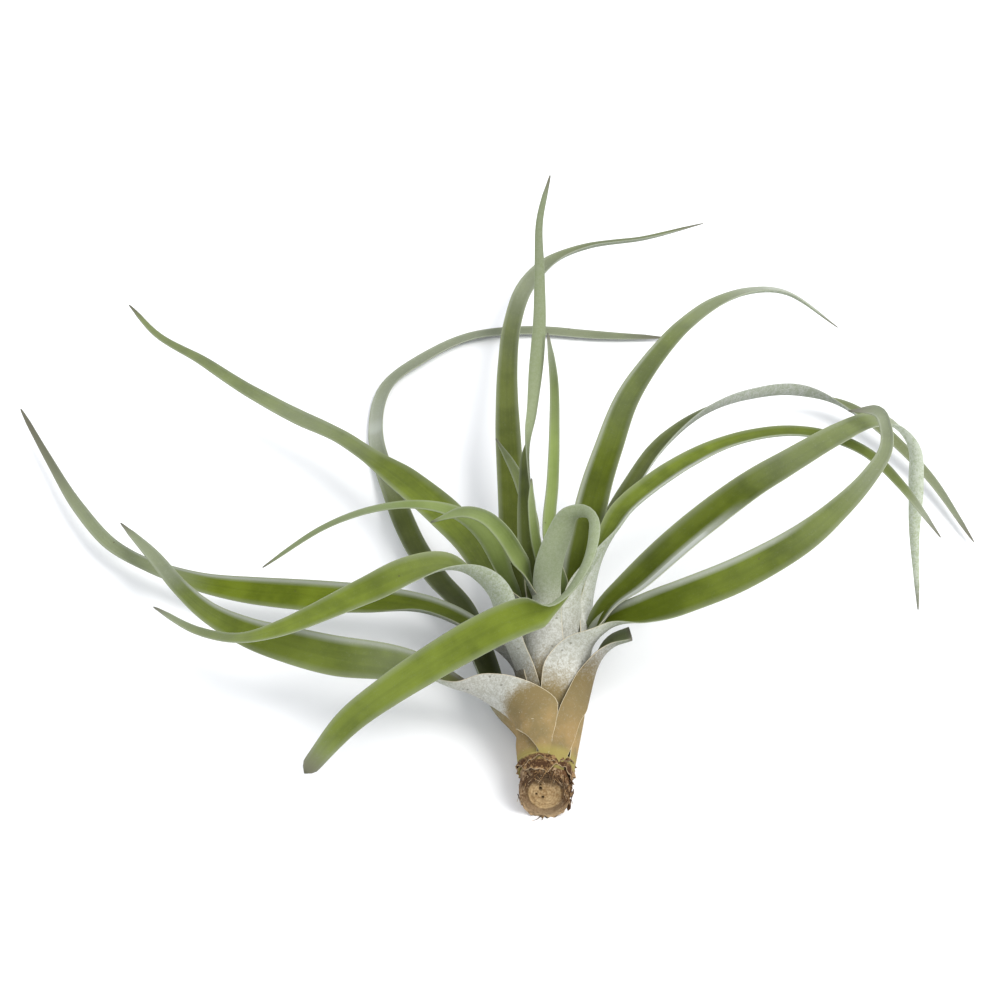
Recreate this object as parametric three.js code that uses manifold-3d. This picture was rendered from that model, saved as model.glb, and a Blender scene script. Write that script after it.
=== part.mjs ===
// An air plant that lies on its side: a short cut stem with clasping leaves that fan out from it.
// Millimetres, +Z up. The origin is the flat spot under the stump, on the surface that the plant lies on.
// +Y runs from the stump to the heart, and +X is to the right when the plant is seen from its stump.

import * as THREE from 'three';
import { mergeVertices } from 'three/addons/utils/BufferGeometryUtils.js';
import Module from 'manifold-3d';

// Stem: a cone of woody tissue on a sloping axis, cut off at an angle at its lower end.
const stemStart = new THREE.Vector3(0, -5, 5.5);
const stemAxis = new THREE.Vector3(0.06, 0.974, 0.22).normalize();
const stumpRadius = 6.7;
const stemProfile = [[0, 6.5], [3, 6.8], [8, 7.0], [12, 7.0], [20, 6.5], [35, 5.3], [50, 3.4], [57, 1.6]];
const stemSides = 28;
const cutPoint = new THREE.Vector3(0, -1.8, 0);
const cutNormal = new THREE.Vector3(-0.06, -0.96, 0.26).normalize();
const ringWidth = 0.9;

// Leaves: each starts as a sheath that clasps the stem and flares away from it.
const footStandoff = 0.85;
const sheathFlare = 0.25;
const midThickness = 1.1;
const marginThickness = 0.65;
const columns = 4;
const marksPerRow = 40;
const turnReach = 0.6;
const stationStep = 6.5;
const clearance = 0.3;
const weldSize = 1e-3;

// Every clasp row is [distance along the stem, angle round it from the top in degrees, half spread].
// Every blade row is [x, y, z, width, half curl in degrees, the way its upper side looks].
const leaves = [
  {
    name: 'leaf_cut_stub',
    colour: 0x8f9a66,
    foot: 14,
    clasp: [[14, 25, 19], [20, 34, 18], [26, 36, 19], [30, 42, 20]],
    blade: [
      [13, 31, 18.5, 9.5, 45, [-0.75, 0.1, -0.3]],
      [16, 36, 22, 9.5, 50, [-0.7, 0.3, 0.2]],
      [19.5, 38.7, 24.5, 9, 52, [-0.5, 0.4, 0.7]],
      [24.5, 39.7, 26.5, 8, 50, [-0.3, 0.3, 0.9]],
    ],
  },
  {
    name: 'sheath_old',
    colour: 0x6f5430,
    foot: 15,
    flare: 0.12,
    clasp: [[15.5, 98, 44], [21, 98, 46], [27, 94, 38], [32, 88, 22]],
    blade: [],
  },
  {
    name: 'leaf_low_left',
    colour: 0x76863c,
    foot: 14.5,
    flare: 0.34,
    clasp: [[15, 1, 14], [18, -1, 16], [22, -6, 23], [25, -13, 32]],
    blade: [
      [-9.7, 24, 18, 14.6, 52, [0.45, 0.7, -0.55]],
      [-15.7, 28, 15.8, 13, 56, [0.3, 0.85, -0.1]],
      [-24, 30.8, 15.8, 11.6, 54, [0.1, 0.6, 0.75]],
      [-32, 33.5, 18.5, 11.6, 46, [0, 0.25, 0.95]],
      [-43, 34, 22, 11.5, 36, [0, -0.3, 0.95]],
      [-57, 36, 23, 11.5, 32, [0, -0.6, 0.8]],
      [-70, 40, 23, 10.5, 32, [0, -0.6, 0.8]],
      [-81, 45, 22, 9, 34, [0, -0.5, 0.85]],
      [-93, 54, 20, 6.8, 38, [0, -0.3, 0.95]],
      [-102, 65, 18, 5.4, 40, [0.1, -0.2, 0.95]],
      [-112, 82, 14, 4.4, 40, [0.3, -0.4, 0.9]],
      [-123, 99, 10, 1.3, 38, [0.2, -0.4, 0.9]],
    ],
  },
  {
    name: 'leaf_loop',
    colour: 0x7d8d57,
    foot: 15,
    flare: 0.15,
    clasp: [[15.5, -85, 66], [20, -92, 62], [24, -112, 38]],
    blade: [
      [-13, 30, 7, 11, 55, [0.8, 0, 0.6]],
      [-17, 45, 8, 10.5, 50, [0.6, 0, 0.8]],
      [-23, 66, 8, 9.5, 42, [0.4, 0, 0.9]],
      [-30.5, 80, 6, 8.2, 38, [0.3, -0.2, 1]],
      [-37, 95, 4, 7.6, 38, [0.2, -0.2, 1]],
      [-43, 115, 3, 6.5, 38, [-0.2, -0.1, 1]],
      [-49.5, 144, 1.5, 5, 38, [-0.4, 0, 0.9]],
      [-47, 165, 1.2, 5, 38, [-0.2, 0.3, 0.9]],
      [-37, 177, 1.2, 5, 38, [0, 0.3, 0.9]],
      [-21, 188, 1.2, 5, 38, [0, 0.3, 0.9]],
      [-2, 191, 1, 4.8, 38, [0, 0.2, 0.95]],
      [20, 189, 0.9, 4, 38, [0, 0.1, 1]],
      [41, 188, 1.2, 1.6, 38, [0, 0.1, 1]],
    ],
  },
  {
    name: 'leaf_front_right',
    colour: 0x7c8b37,
    foot: 22,
    flare: 0.16,
    clasp: [[23, 60, 68], [29, 50, 64], [35, 44, 60], [41, 46, 53]],
    blade: [
      [18, 42, 28, 12.5, 64, [-0.3, 0.5, 0.8]],
      [28, 44, 32, 11, 48, [-0.1, -0.1, 0.95]],
      [38, 46, 36, 10, 36, [0, -0.6, 0.8]],
      [54, 51, 40, 10, 36, [0, -0.6, 0.8]],
      [71, 60, 44, 8.6, 36, [0, -0.6, 0.8]],
      [82, 70, 46, 6.8, 40, [0, -0.7, 0.7]],
      [91, 81, 47, 5.2, 45, [0, -0.7, 0.7]],
      [97, 91, 48, 4.2, 45, [-0.2, -0.6, 0.7]],
      [98, 100, 48, 3.8, 45, [-0.2, -0.6, 0.7]],
      [96, 107, 48, 3.4, 45, [0, -0.7, 0.7]],
      [88, 108, 47, 1.3, 40, [0, -0.7, 0.7]],
    ],
  },
  {
    name: 'leaf_arch_left',
    colour: 0x849447,
    foot: 27,
    flare: 0.18,
    clasp: [[28, -54, 46], [35, -66, 44], [41, -72, 42]],
    blade: [
      [-11, 42, 27, 12, 50, [0.8, 0.3, -0.4]],
      [-13, 48, 34, 11.5, 50, [0.6, 0.7, -0.1]],
      [-18, 50, 39.5, 11.5, 52, [0.3, 0.8, 0.4]],
      [-26, 51, 43, 11, 50, [0.1, 0.4, 0.9]],
      [-36, 49, 43, 9.6, 42, [0, -0.1, 1]],
      [-48, 44, 41, 8, 38, [0, -0.5, 0.85]],
      [-72, 36, 34, 5, 40, [0, -0.3, 0.95]],
      [-83, 35.4, 31, 3.4, 40, [0, -0.2, 1]],
      [-95, 41.5, 27, 2.8, 40, [0, -0.2, 1]],
      [-109, 56, 21, 1.3, 38, [0, -0.3, 0.95]],
    ],
  },
  {
    name: 'leaf_far_left',
    colour: 0x73833d,
    foot: 28,
    clasp: [[30, -92, 50], [38, -96, 46], [45, -98, 40]],
    blade: [
      [-19, 51, 16, 10.5, 50, [0, 0.6, 0.8]],
      [-32, 60, 15, 11, 48, [0, 0.45, 0.9]],
      [-49, 65, 13, 10.5, 38, [0, -0.1, 1]],
      [-66, 68, 12, 10, 36, [0, -0.4, 0.9]],
      [-84, 72, 10, 8.6, 36, [0, -0.4, 0.9]],
      [-98, 76, 9, 6.4, 38, [0, -0.3, 0.95]],
      [-113, 84, 7, 4.8, 38, [0, -0.1, 1]],
      [-125, 93, 6, 4.6, 38, [-0.1, 0, 1]],
      [-137, 110, 5, 3.8, 38, [-0.2, -0.1, 1]],
      [-148, 131, 4, 2.4, 38, [-0.2, 0, 1]],
      [-159, 153, 4, 1.3, 38, [-0.2, 0, 1]],
    ],
  },
  {
    name: 'leaf_upper_right',
    colour: 0x76863a,
    foot: 28,
    flare: 0.22,
    clasp: [[30, 74, 54], [37, 70, 50], [43, 66, 44]],
    blade: [
      [18, 48, 29, 9, 45, [-0.5, 0.1, 0.8]],
      [26.2, 53.4, 34, 10, 48, [-0.1, 0, 0.95]],
      [35.2, 61.4, 37.5, 10.6, 48, [0, -0.05, 0.98]],
      [47.2, 72.4, 40, 10.4, 46, [0, -0.1, 0.98]],
      [59, 83.3, 41, 9.8, 42, [0, -0.15, 0.95]],
      [71, 92.5, 41.5, 8.8, 42, [0, -0.15, 0.95]],
      [85, 103, 42, 7.4, 42, [0, -0.2, 0.95]],
      [95, 109.5, 41, 6.4, 45, [0.2, 0, 0.98]],
      [102, 110, 39, 5.6, 45, [0.6, 0.4, 0.6]],
      [107, 105, 35, 5.8, 42, [0.6, 0.75, 0.1]],
      [108, 98, 27, 5.4, 40, [0.5, 0.85, 0]],
      [108, 89, 15, 3.6, 40, [0.5, 0.85, 0]],
      [109, 72, 2, 1.3, 40, [0.5, 0.85, 0]],
    ],
  },
  {
    name: 'leaf_low_right',
    colour: 0x7f8f58,
    foot: 33,
    clasp: [[35, 98, 52], [43, 92, 46], [50, 84, 40]],
    blade: [
      [15, 58, 21, 9, 50, [-0.8, 0.2, 0]],
      [18, 70, 24, 9, 48, [-0.8, 0.1, 0.2]],
      [22, 83, 26, 9, 46, [-0.6, 0.2, 0.7]],
      [27.4, 98, 27.6, 8, 46, [-0.4, 0.45, 0.8]],
      [35.4, 114, 26, 7.8, 52, [-0.25, 0.6, 0.7]],
      [49, 133.6, 20.8, 7.4, 52, [-0.1, 0.85, 0.4]],
      [64.5, 147.8, 14.2, 7.2, 50, [0, 0.95, 0.2]],
      [80.2, 154.3, 9.4, 6.8, 48, [0.1, 0.9, 0.3]],
      [96, 149, 7, 6, 46, [0, 0.4, 0.9]],
      [115, 127, 4, 4, 42, [0, 0.2, 0.95]],
      [128, 99, 2, 1.3, 40, [0, 0.2, 0.95]],
    ],
  },
  {
    name: 'leaf_folded',
    colour: 0x8a9a48,
    foot: 34,
    clasp: [[36, 0, 55], [44, -14, 40], [51, -16, 30]],
    blade: [
      [1, 48, 32, 9, 50, [0, 0.3, -0.95]],
      [2, 53, 41, 8.6, 40, [-0.3, 0.7, -0.6]],
      [5, 57, 49, 8.6, 40, [-0.4, 0.8, -0.3]],
      [8, 59, 54.5, 8.6, 40, [-0.3, 0.9, 0.2]],
      [12, 58, 56, 8.2, 40, [0.4, 0.7, 0.3]],
      [13, 52.5, 56, 7.2, 40, [0.85, 0.25, -0.3]],
      [11.6, 45, 53.5, 6.8, 40, [0.88, 0.05, -0.35]],
      [8, 38, 51, 7.2, 40, [0.85, -0.2, -0.35]],
      [4.8, 34.5, 49, 7.2, 42, [0.75, -0.4, -0.3]],
      [1.2, 32, 47.6, 8, 45, [0.7, -0.5, -0.1]],
      [-3.5, 31, 46.6, 10.6, 50, [0.4, -0.55, 0.6]],
      [-10, 29.4, 44.4, 11, 40, [0.1, -0.6, 0.8]],
      [-18, 28, 40, 10.8, 34, [0, -0.6, 0.8]],
      [-30, 24, 34, 10.2, 34, [0, -0.6, 0.8]],
      [-42, 19, 28, 9, 34, [0, -0.6, 0.8]],
      [-53, 14, 21, 7.6, 34, [0, -0.6, 0.8]],
      [-65, 6, 9, 2.6, 34, [0, -0.6, 0.8]],
    ],
  },
  {
    name: 'leaf_back_left',
    colour: 0x7b8b41,
    foot: 34,
    clasp: [[36, -84, 50], [44, -84, 45], [51, -80, 40]],
    blade: [
      [-18, 75, 21, 10.5, 40, [0.1, -0.1, 1]],
      [-27, 91, 20, 11, 38, [0, -0.3, 0.95]],
      [-40, 108, 18, 9.5, 38, [0, -0.3, 0.95]],
      [-50, 119, 16, 8, 40, [0, 0.3, 0.95]],
      [-60, 129, 15, 7, 40, [0, 0.3, 0.95]],
      [-72, 138, 14, 6.2, 40, [0, 0, 1]],
      [-88, 151, 13, 5, 40, [0, -0.1, 1]],
      [-104, 167, 11, 3.8, 40, [0, -0.1, 1]],
      [-118, 179, 10, 2.6, 40, [0, 0, 1]],
      [-129, 196, 8, 1.3, 40, [0, 0, 1]],
    ],
  },
  {
    name: 'leaf_middle_right',
    colour: 0x7b8c3c,
    foot: 38,
    clasp: [[40, 58, 48], [46, 50, 44], [51, 44, 40]],
    blade: [
      [9.8, 53, 31, 8, 50, [-0.6, 0.3, -0.3]],
      [14.4, 60, 35, 7.6, 50, [-0.75, 0.35, 0.2]],
      [18.8, 67, 38, 8.6, 50, [-0.45, 0.3, 0.65]],
      [23.2, 75.3, 39, 9.4, 58, [-0.2, 0.35, 0.9]],
      [29.7, 82.3, 40, 9.2, 58, [-0.1, 0.3, 0.95]],
      [41.2, 93.1, 40, 8.4, 54, [0, 0.25, 0.98]],
      [55, 103, 39, 7, 46, [0, 0.3, 0.95]],
      [71, 109, 37, 6.2, 46, [0, 0.3, 0.95]],
      [82, 108.5, 36, 5.4, 44, [0, 0.2, 0.98]],
      [94, 103.5, 34, 4.4, 42, [0, 0.1, 1]],
      [103, 94, 31, 3.4, 42, [0, 0.1, 1]],
      [114, 80, 24, 1.3, 40, [0, 0.1, 1]],
    ],
  },
  {
    name: 'leaf_thin_left',
    colour: 0x8c9a52,
    foot: 40,
    clasp: [[42, -56, 48], [48, -54, 44], [53, -50, 38]],
    blade: [
      [-11, 58, 31, 7.6, 50, [0.3, 0.3, 0.8]],
      [-14, 64, 37, 7.2, 48, [-0.1, 0.2, 1]],
      [-19, 68.5, 41, 6.2, 45, [-0.2, 0.1, 1]],
      [-26, 72, 43, 4.8, 45, [0, 0, 1]],
      [-36, 73.3, 44, 3.6, 45, [0, 0, 1]],
      [-48, 72.3, 43, 2.8, 45, [0, 0, 1]],
      [-61, 68.5, 40, 2.2, 42, [0, 0, 1]],
      [-78, 60, 33, 1.2, 40, [0, 0, 1]],
    ],
  },
  {
    name: 'leaf_back_low',
    colour: 0x74843e,
    foot: 40,
    clasp: [[42, -158, 48], [48, -154, 44], [54, -148, 38]],
    blade: [
      [-7.5, 72, 9, 8.3, 40, [0.2, -0.1, 1]],
      [-8, 90, 11, 8.6, 40, [0.1, -0.1, 1]],
      [-8.8, 113, 13, 8.6, 40, [0.1, -0.2, 1]],
      [-9.6, 134, 14, 8, 40, [0.1, -0.2, 1]],
      [-9.6, 162, 12, 6.6, 42, [0.1, -0.1, 1]],
      [-8, 183, 11, 6, 44, [0.1, 0.2, 1]],
      [-4, 201, 10, 5.8, 46, [0.3, 0.4, 0.9]],
      [5, 215.5, 9, 5.6, 46, [0.2, 0.5, 0.85]],
      [17, 222.5, 9, 5, 46, [0, 0.5, 0.87]],
      [35, 226.5, 9, 3.8, 44, [0, 0.5, 0.87]],
      [54, 233, 10, 1.3, 40, [0, 0.4, 0.9]],
    ],
  },
  {
    name: 'leaf_high_arch',
    colour: 0x6f8030,
    foot: 43,
    clasp: [[45, 78, 46], [51, 68, 42]],
    blade: [
      [9.5, 61, 24, 9, 45, [-0.3, 0.2, 0.6]],
      [12, 74, 30, 10, 42, [0, -0.3, 0.9]],
      [15.3, 90, 33, 9.6, 42, [0.1, -0.3, 0.9]],
      [19.3, 104, 35, 8.8, 42, [0.1, -0.3, 0.9]],
      [25, 121, 38, 7.6, 42, [0.1, -0.2, 0.9]],
      [33, 135.5, 40, 6.6, 42, [0, -0.1, 1]],
      [42.3, 149, 41, 5.8, 42, [0, 0.1, 1]],
      [53, 160, 41, 5.6, 42, [0, 0.3, 0.95]],
      [64, 166.5, 40, 5, 44, [0, 0.45, 0.9]],
      [75, 169, 37, 4.2, 44, [0, 0.5, 0.87]],
      [91, 165, 27, 1.4, 40, [0, 0.4, 0.9]],
    ],
  },
  {
    name: 'leaf_upright_tall',
    colour: 0x7f9052,
    foot: 46,
    clasp: [[48, -96, 46], [54, -92, 42]],
    blade: [
      [-3, 66, 24, 6.5, 50, [0.3, 0.1, 0.8]],
      [-3.5, 75, 31, 7, 48, [-0.5, -0.3, 0.8]],
      [-4, 95, 42, 6, 45, [-0.96, -0.11, 0.25]],
      [-2.2, 108, 47, 4.6, 45, [-0.76, 0.28, -0.58]],
      [-1, 121, 53, 5, 42, [-0.5, 0.38, -0.78]],
      [0, 134, 59, 4.5, 42, [-0.5, 0.38, -0.78]],
      [0, 148, 65, 3.7, 42, [-0.5, 0.38, -0.78]],
      [0, 163, 71, 2.5, 42, [-0.5, 0.38, -0.78]],
      [3, 178, 76, 1.3, 40, [-0.5, 0.38, -0.78]],
    ],
  },
  {
    name: 'leaf_young_curl',
    colour: 0x9bae72,
    foot: 46,
    clasp: [[48, -22, 44], [53, -22, 42]],
    blade: [
      [-4, 53, 34, 5.5, 50, [0.3, 0.3, 0.6]],
      [-7, 57, 41, 5.2, 48, [-0.3, 0, 0.9]],
      [-11, 61, 46, 5, 45, [-0.4, -0.3, 0.8]],
      [-16, 65, 48, 4.2, 45, [-0.2, -0.5, 0.8]],
      [-22, 67, 48, 3.2, 45, [0, -0.6, 0.8]],
      [-31, 66, 45, 1.3, 40, [0, -0.6, 0.8]],
    ],
  },
  {
    name: 'leaf_upright_right',
    colour: 0x8fa35f,
    foot: 48,
    clasp: [[50, 60, 44], [55, 60, 40]],
    blade: [
      [3, 64, 31, 4.6, 48, [0, 0, 1]],
      [2, 73, 36, 4, 45, [0, -0.4, 0.8]],
      [3, 84, 42, 3.6, 45, [0, -0.6, 0.7]],
      [3.6, 99, 48, 3.2, 45, [0, -0.6, 0.7]],
      [3.6, 115, 53, 2.6, 45, [0, -0.6, 0.7]],
      [2, 129, 58, 1.3, 40, [0, -0.6, 0.7]],
    ],
  },
  {
    name: 'spike_left',
    colour: 0x8a9b4e,
    foot: 50,
    clasp: [[52, -160, 42], [56, -158, 38]],
    blade: [
      [-2, 72, 18, 4.6, 45, [0, 0, 1]],
      [-3, 86, 25, 4.4, 45, [0, -0.4, 0.9]],
      [-7, 99, 30, 3.2, 45, [0, -0.4, 0.9]],
      [-13, 109, 35, 1.3, 40, [0, -0.4, 0.9]],
    ],
  },
  {
    name: 'spike_right',
    colour: 0x9bad6c,
    foot: 51,
    clasp: [[53, -10, 42], [56, -10, 38]],
    blade: [
      [0, 58, 33, 3.4, 45, [0, 0.1, 0.9]],
      [-2, 65, 40, 3, 45, [0, -0.5, 0.7]],
      [-3, 73, 45, 2.2, 45, [0, -0.5, 0.7]],
      [-3, 80, 48, 1.2, 40, [0, -0.5, 0.7]],
    ],
  },
];

// Frame of the stem: up and right across its axis.
const stemUp = new THREE.Vector3(0, 0, 1);
stemUp.addScaledVector(stemAxis, -stemAxis.z).normalize();
const stemRight = new THREE.Vector3().crossVectors(stemAxis, stemUp);

const wasm = await Module();
wasm.setup();

function stemRadius(along) {
  for (let i = 1; i < stemProfile.length; i += 1) {
    const [a, ra] = stemProfile[i - 1];
    const [b, rb] = stemProfile[i];
    if (along <= b) {
      return THREE.MathUtils.lerp(ra, rb, Math.max(0, along - a) / (b - a));
    }
  }
  return stemProfile.at(-1)[1];
}

function radialAt(angle) {
  const turn = THREE.MathUtils.degToRad(angle);
  return stemUp.clone().multiplyScalar(Math.cos(turn)).addScaledVector(stemRight, Math.sin(turn));
}

function aroundStem(along, angle, radius) {
  return stemStart.clone().addScaledVector(stemAxis, along).addScaledVector(radialAt(angle), radius);
}

// A clasp row as a point on the flaring cone of its leaf, with its width along the arc.
function claspStation(leaf, [along, angle, spread]) {
  const flare = leaf.flare ?? sheathFlare;
  const radius = stemRadius(leaf.foot) + footStandoff + flare * (along - leaf.foot);
  return {
    at: aroundStem(along, angle, radius),
    width: 2 * radius * THREE.MathUtils.degToRad(spread),
    curl: spread,
    face: radialAt(angle).negate(),
  };
}

function bladeStation([x, y, z, width, curl, face]) {
  return {
    at: new THREE.Vector3(x, y, z),
    width,
    curl,
    face: new THREE.Vector3(...face).normalize(),
  };
}

// A smooth curve through a leaf's rows, with the length reached at each of its marks.
function leafRoute(rows) {
  const curve = new THREE.CatmullRomCurve3(rows.map((row) => row.at), false, 'centripetal');
  const count = marksPerRow * (rows.length - 1);
  const marks = [0];
  let before = curve.getPoint(0);
  for (let i = 1; i <= count; i += 1) {
    const point = curve.getPoint(i / count);
    marks.push(marks.at(-1) + point.distanceTo(before));
    before = point;
  }
  const shareAt = (length) => {
    const goal = THREE.MathUtils.clamp(length, 0, marks.at(-1));
    const i = Math.max(1, marks.findIndex((mark) => mark >= goal - 1e-9));
    return (i - 1 + (goal - marks[i - 1]) / (marks[i] - marks[i - 1])) / count;
  };
  return { length: marks.at(-1), shareAt, pointAt: (length) => curve.getPoint(shareAt(length)) };
}

// Even stations along a leaf. A wide section turns slowly in a bend, so that its margins never cross.
function leafStations(leaf) {
  const rows = [...leaf.clasp.map((row) => claspStation(leaf, row)), ...leaf.blade.map(bladeStation)];
  const route = leafRoute(rows);
  const steps = Math.ceil(route.length / stationStep);
  const stations = [];
  for (let s = 0; s <= steps; s += 1) {
    const length = (route.length * s) / steps;
    const place = route.shareAt(length) * (rows.length - 1);
    const k = Math.min(rows.length - 2, Math.floor(place));
    const u = place - k;
    const [from, to] = [rows[k], rows[k + 1]];
    const width = THREE.MathUtils.lerp(from.width, to.width, u);
    const ahead = route.pointAt(length + width * turnReach);
    stations.push({
      at: route.pointAt(length),
      along: ahead.sub(route.pointAt(length - width * turnReach)).normalize(),
      width,
      curl: THREE.MathUtils.lerp(from.curl, to.curl, u),
      face: from.face.clone().lerp(to.face, u),
    });
  }
  return stations;
}

// One side of the curled section: points on an arc, curved towards the leaf's upper side.
function sectionRow(station, grow, side) {
  const face = station.face.clone().addScaledVector(station.along, -station.face.dot(station.along));
  face.normalize();
  const across = new THREE.Vector3().crossVectors(station.along, face);
  const half = THREE.MathUtils.degToRad(station.curl);
  const radius = station.width / (2 * half);
  const reach = half + grow / radius;
  const row = [];
  for (let j = 0; j <= columns; j += 1) {
    const s = (2 * j) / columns - 1;
    const turn = reach * s;
    const slim = Math.min(1, 0.5 + station.width / 8);
    const thick = THREE.MathUtils.lerp(midThickness * slim, marginThickness, s * s) / 2 + grow;
    const r = radius - side * thick;
    const point = station.at.clone().addScaledVector(face, radius);
    point.addScaledVector(face, -r * Math.cos(turn));
    point.addScaledVector(across, r * Math.sin(turn));
    row.push(point);
  }
  return row;
}

// A closed leaf: an upper and an under side split alike, two margins and two end caps.
function leafGeometry(stations, grow) {
  const rings = stations.map((station) => [
    ...sectionRow(station, grow, 1),
    ...sectionRow(station, grow, -1).reverse(),
  ]);
  if (grow > 0) {
    const lead = stations[0].along.clone().multiplyScalar(-grow);
    const tail = stations.at(-1).along.clone().multiplyScalar(grow);
    rings[0].forEach((point) => point.add(lead));
    rings.at(-1).forEach((point) => point.add(tail));
  }
  const count = 2 * (columns + 1);
  const index = [];
  for (let i = 0; i < rings.length - 1; i += 1) {
    for (let j = 0; j < count; j += 1) {
      const k = (j + 1) % count;
      const [a, b] = [i * count + j, i * count + k];
      const [c, d] = [a + count, b + count];
      if (j < columns + 1) {
        index.push(a, b, d, a, d, c);
      } else {
        index.push(a, b, c, b, d, c);
      }
    }
  }
  const last = (rings.length - 1) * count;
  for (let j = 0; j < columns; j += 1) {
    const [a, b] = [j, j + 1];
    const [c, d] = [count - 1 - j, count - 2 - j];
    index.push(a, c, d, a, d, b);
    index.push(last + a, last + d, last + c, last + a, last + b, last + d);
  }
  const geometry = new THREE.BufferGeometry();
  const flat = rings.flat().flatMap((point) => point.toArray());
  geometry.setAttribute('position', new THREE.Float32BufferAttribute(flat, 3));
  geometry.setIndex(index);
  return geometry;
}

function stemGeometry(grow) {
  const profile = [new THREE.Vector2(0, -grow - 4)];
  profile.push(new THREE.Vector2(stemProfile[0][1] + grow, -grow - 4));
  for (const [along, radius] of stemProfile) {
    profile.push(new THREE.Vector2(radius + grow, along + (along > 50 ? grow : 0)));
  }
  profile.push(new THREE.Vector2(0, stemProfile.at(-1)[0] + grow + 1));
  const geometry = new THREE.LatheGeometry(profile, stemSides);
  const basis = new THREE.Matrix4().makeBasis(stemRight, stemAxis, stemUp);
  geometry.applyMatrix4(basis.setPosition(stemStart));
  return geometry;
}

// The torn ring of old leaf bases round the top of the stump.
function ringGeometry() {
  const profile = [
    [stumpRadius - 1, 8.6],
    [stumpRadius + ringWidth / 2, 9.4],
    [stumpRadius + ringWidth, 12],
    [stumpRadius - 1, 13],
    [stumpRadius - 1, 8.6],
  ];
  const outline = profile.map(([radius, along]) => new THREE.Vector2(radius, along));
  const geometry = new THREE.LatheGeometry(outline, stemSides);
  const basis = new THREE.Matrix4().makeBasis(stemRight, stemAxis, stemUp);
  geometry.applyMatrix4(basis.setPosition(stemStart));
  return geometry;
}

function slabGeometry(point, normal) {
  const size = 60;
  const geometry = new THREE.BoxGeometry(size, size, size);
  geometry.translate(0, 0, size / 2);
  geometry.applyQuaternion(new THREE.Quaternion().setFromUnitVectors(new THREE.Vector3(0, 0, 1), normal));
  geometry.translate(...point.toArray());
  return geometry;
}

function toSolid(geometry) {
  const plain = geometry.clone();
  plain.deleteAttribute('normal');
  plain.deleteAttribute('uv');
  const merged = mergeVertices(plain, weldSize);
  const triangles = [];
  const index = merged.index.array;
  for (let i = 0; i < index.length; i += 3) {
    const [a, b, c] = [index[i], index[i + 1], index[i + 2]];
    if (a !== b && b !== c && c !== a) {
      triangles.push(a, b, c);
    }
  }
  const mesh = new wasm.Mesh({
    numProp: 3,
    vertProperties: new Float32Array(merged.attributes.position.array),
    triVerts: new Uint32Array(triangles),
  });
  return new wasm.Manifold(mesh);
}

function largestBody(solid) {
  const bodies = solid.decompose();
  bodies.sort((a, b) => b.volume() - a.volume());
  return bodies[0];
}

function toMesh(name, solid, colour, roughness) {
  const { vertProperties, triVerts } = solid.getMesh();
  const geometry = new THREE.BufferGeometry();
  geometry.setAttribute('position', new THREE.BufferAttribute(vertProperties, 3));
  geometry.setIndex(new THREE.BufferAttribute(triVerts, 1));
  geometry.computeVertexNormals();
  const material = new THREE.MeshStandardMaterial({ color: colour, roughness, metalness: 0 });
  const mesh = new THREE.Mesh(geometry, material);
  mesh.name = name;
  return mesh;
}

const plant = new THREE.Group();

// The stem is cut off at an angle at its end, and flat where it rests.
const floorSlab = toSolid(slabGeometry(new THREE.Vector3(0, 0, 0), new THREE.Vector3(0, 0, -1)));
const cutSlab = toSolid(slabGeometry(cutPoint, cutNormal));
let stem = toSolid(stemGeometry(0)).add(toSolid(ringGeometry()));
stem = stem.subtract(floorSlab).subtract(cutSlab);
plant.add(toMesh('stem', largestBody(stem), 0x7c5a35, 0.9));

// Each leaf is trimmed clear of the stem and of the leaves that were placed before it.
const taken = [toSolid(stemGeometry(clearance)), floorSlab];
for (const leaf of leaves) {
  const stations = leafStations(leaf);
  let solid = toSolid(leafGeometry(stations, 0));
  for (const other of taken) {
    solid = solid.subtract(other);
  }
  plant.add(toMesh(leaf.name, largestBody(solid), leaf.colour, 0.6));
  taken.push(toSolid(leafGeometry(stations, clearance)));
}

export default plant;
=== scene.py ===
# An air plant that lies on a white table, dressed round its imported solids.
# Lengths in the tables are millimetres in the part's own frame; meshes are in metres.

import math
import random

import bpy
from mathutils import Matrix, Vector, noise


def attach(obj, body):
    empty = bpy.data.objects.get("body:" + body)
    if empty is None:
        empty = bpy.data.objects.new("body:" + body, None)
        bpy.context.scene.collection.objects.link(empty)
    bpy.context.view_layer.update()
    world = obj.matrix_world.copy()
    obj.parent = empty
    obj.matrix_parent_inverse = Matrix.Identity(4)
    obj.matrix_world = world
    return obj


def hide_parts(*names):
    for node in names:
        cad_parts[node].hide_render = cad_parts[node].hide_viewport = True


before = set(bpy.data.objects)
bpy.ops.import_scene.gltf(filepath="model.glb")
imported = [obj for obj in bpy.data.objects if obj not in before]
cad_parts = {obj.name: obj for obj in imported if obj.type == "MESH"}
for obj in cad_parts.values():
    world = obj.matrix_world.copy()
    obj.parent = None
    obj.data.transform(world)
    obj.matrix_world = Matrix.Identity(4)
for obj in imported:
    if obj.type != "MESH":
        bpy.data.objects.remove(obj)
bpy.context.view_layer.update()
mm = 0.001

cameraSetup = {
    "target": (-11.8, 118.0, 0.0),
    "distance": 900.0,
    "elevation": 46.0,
    "lens": 108.0,
    "sensor": 36.0,
}


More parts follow.
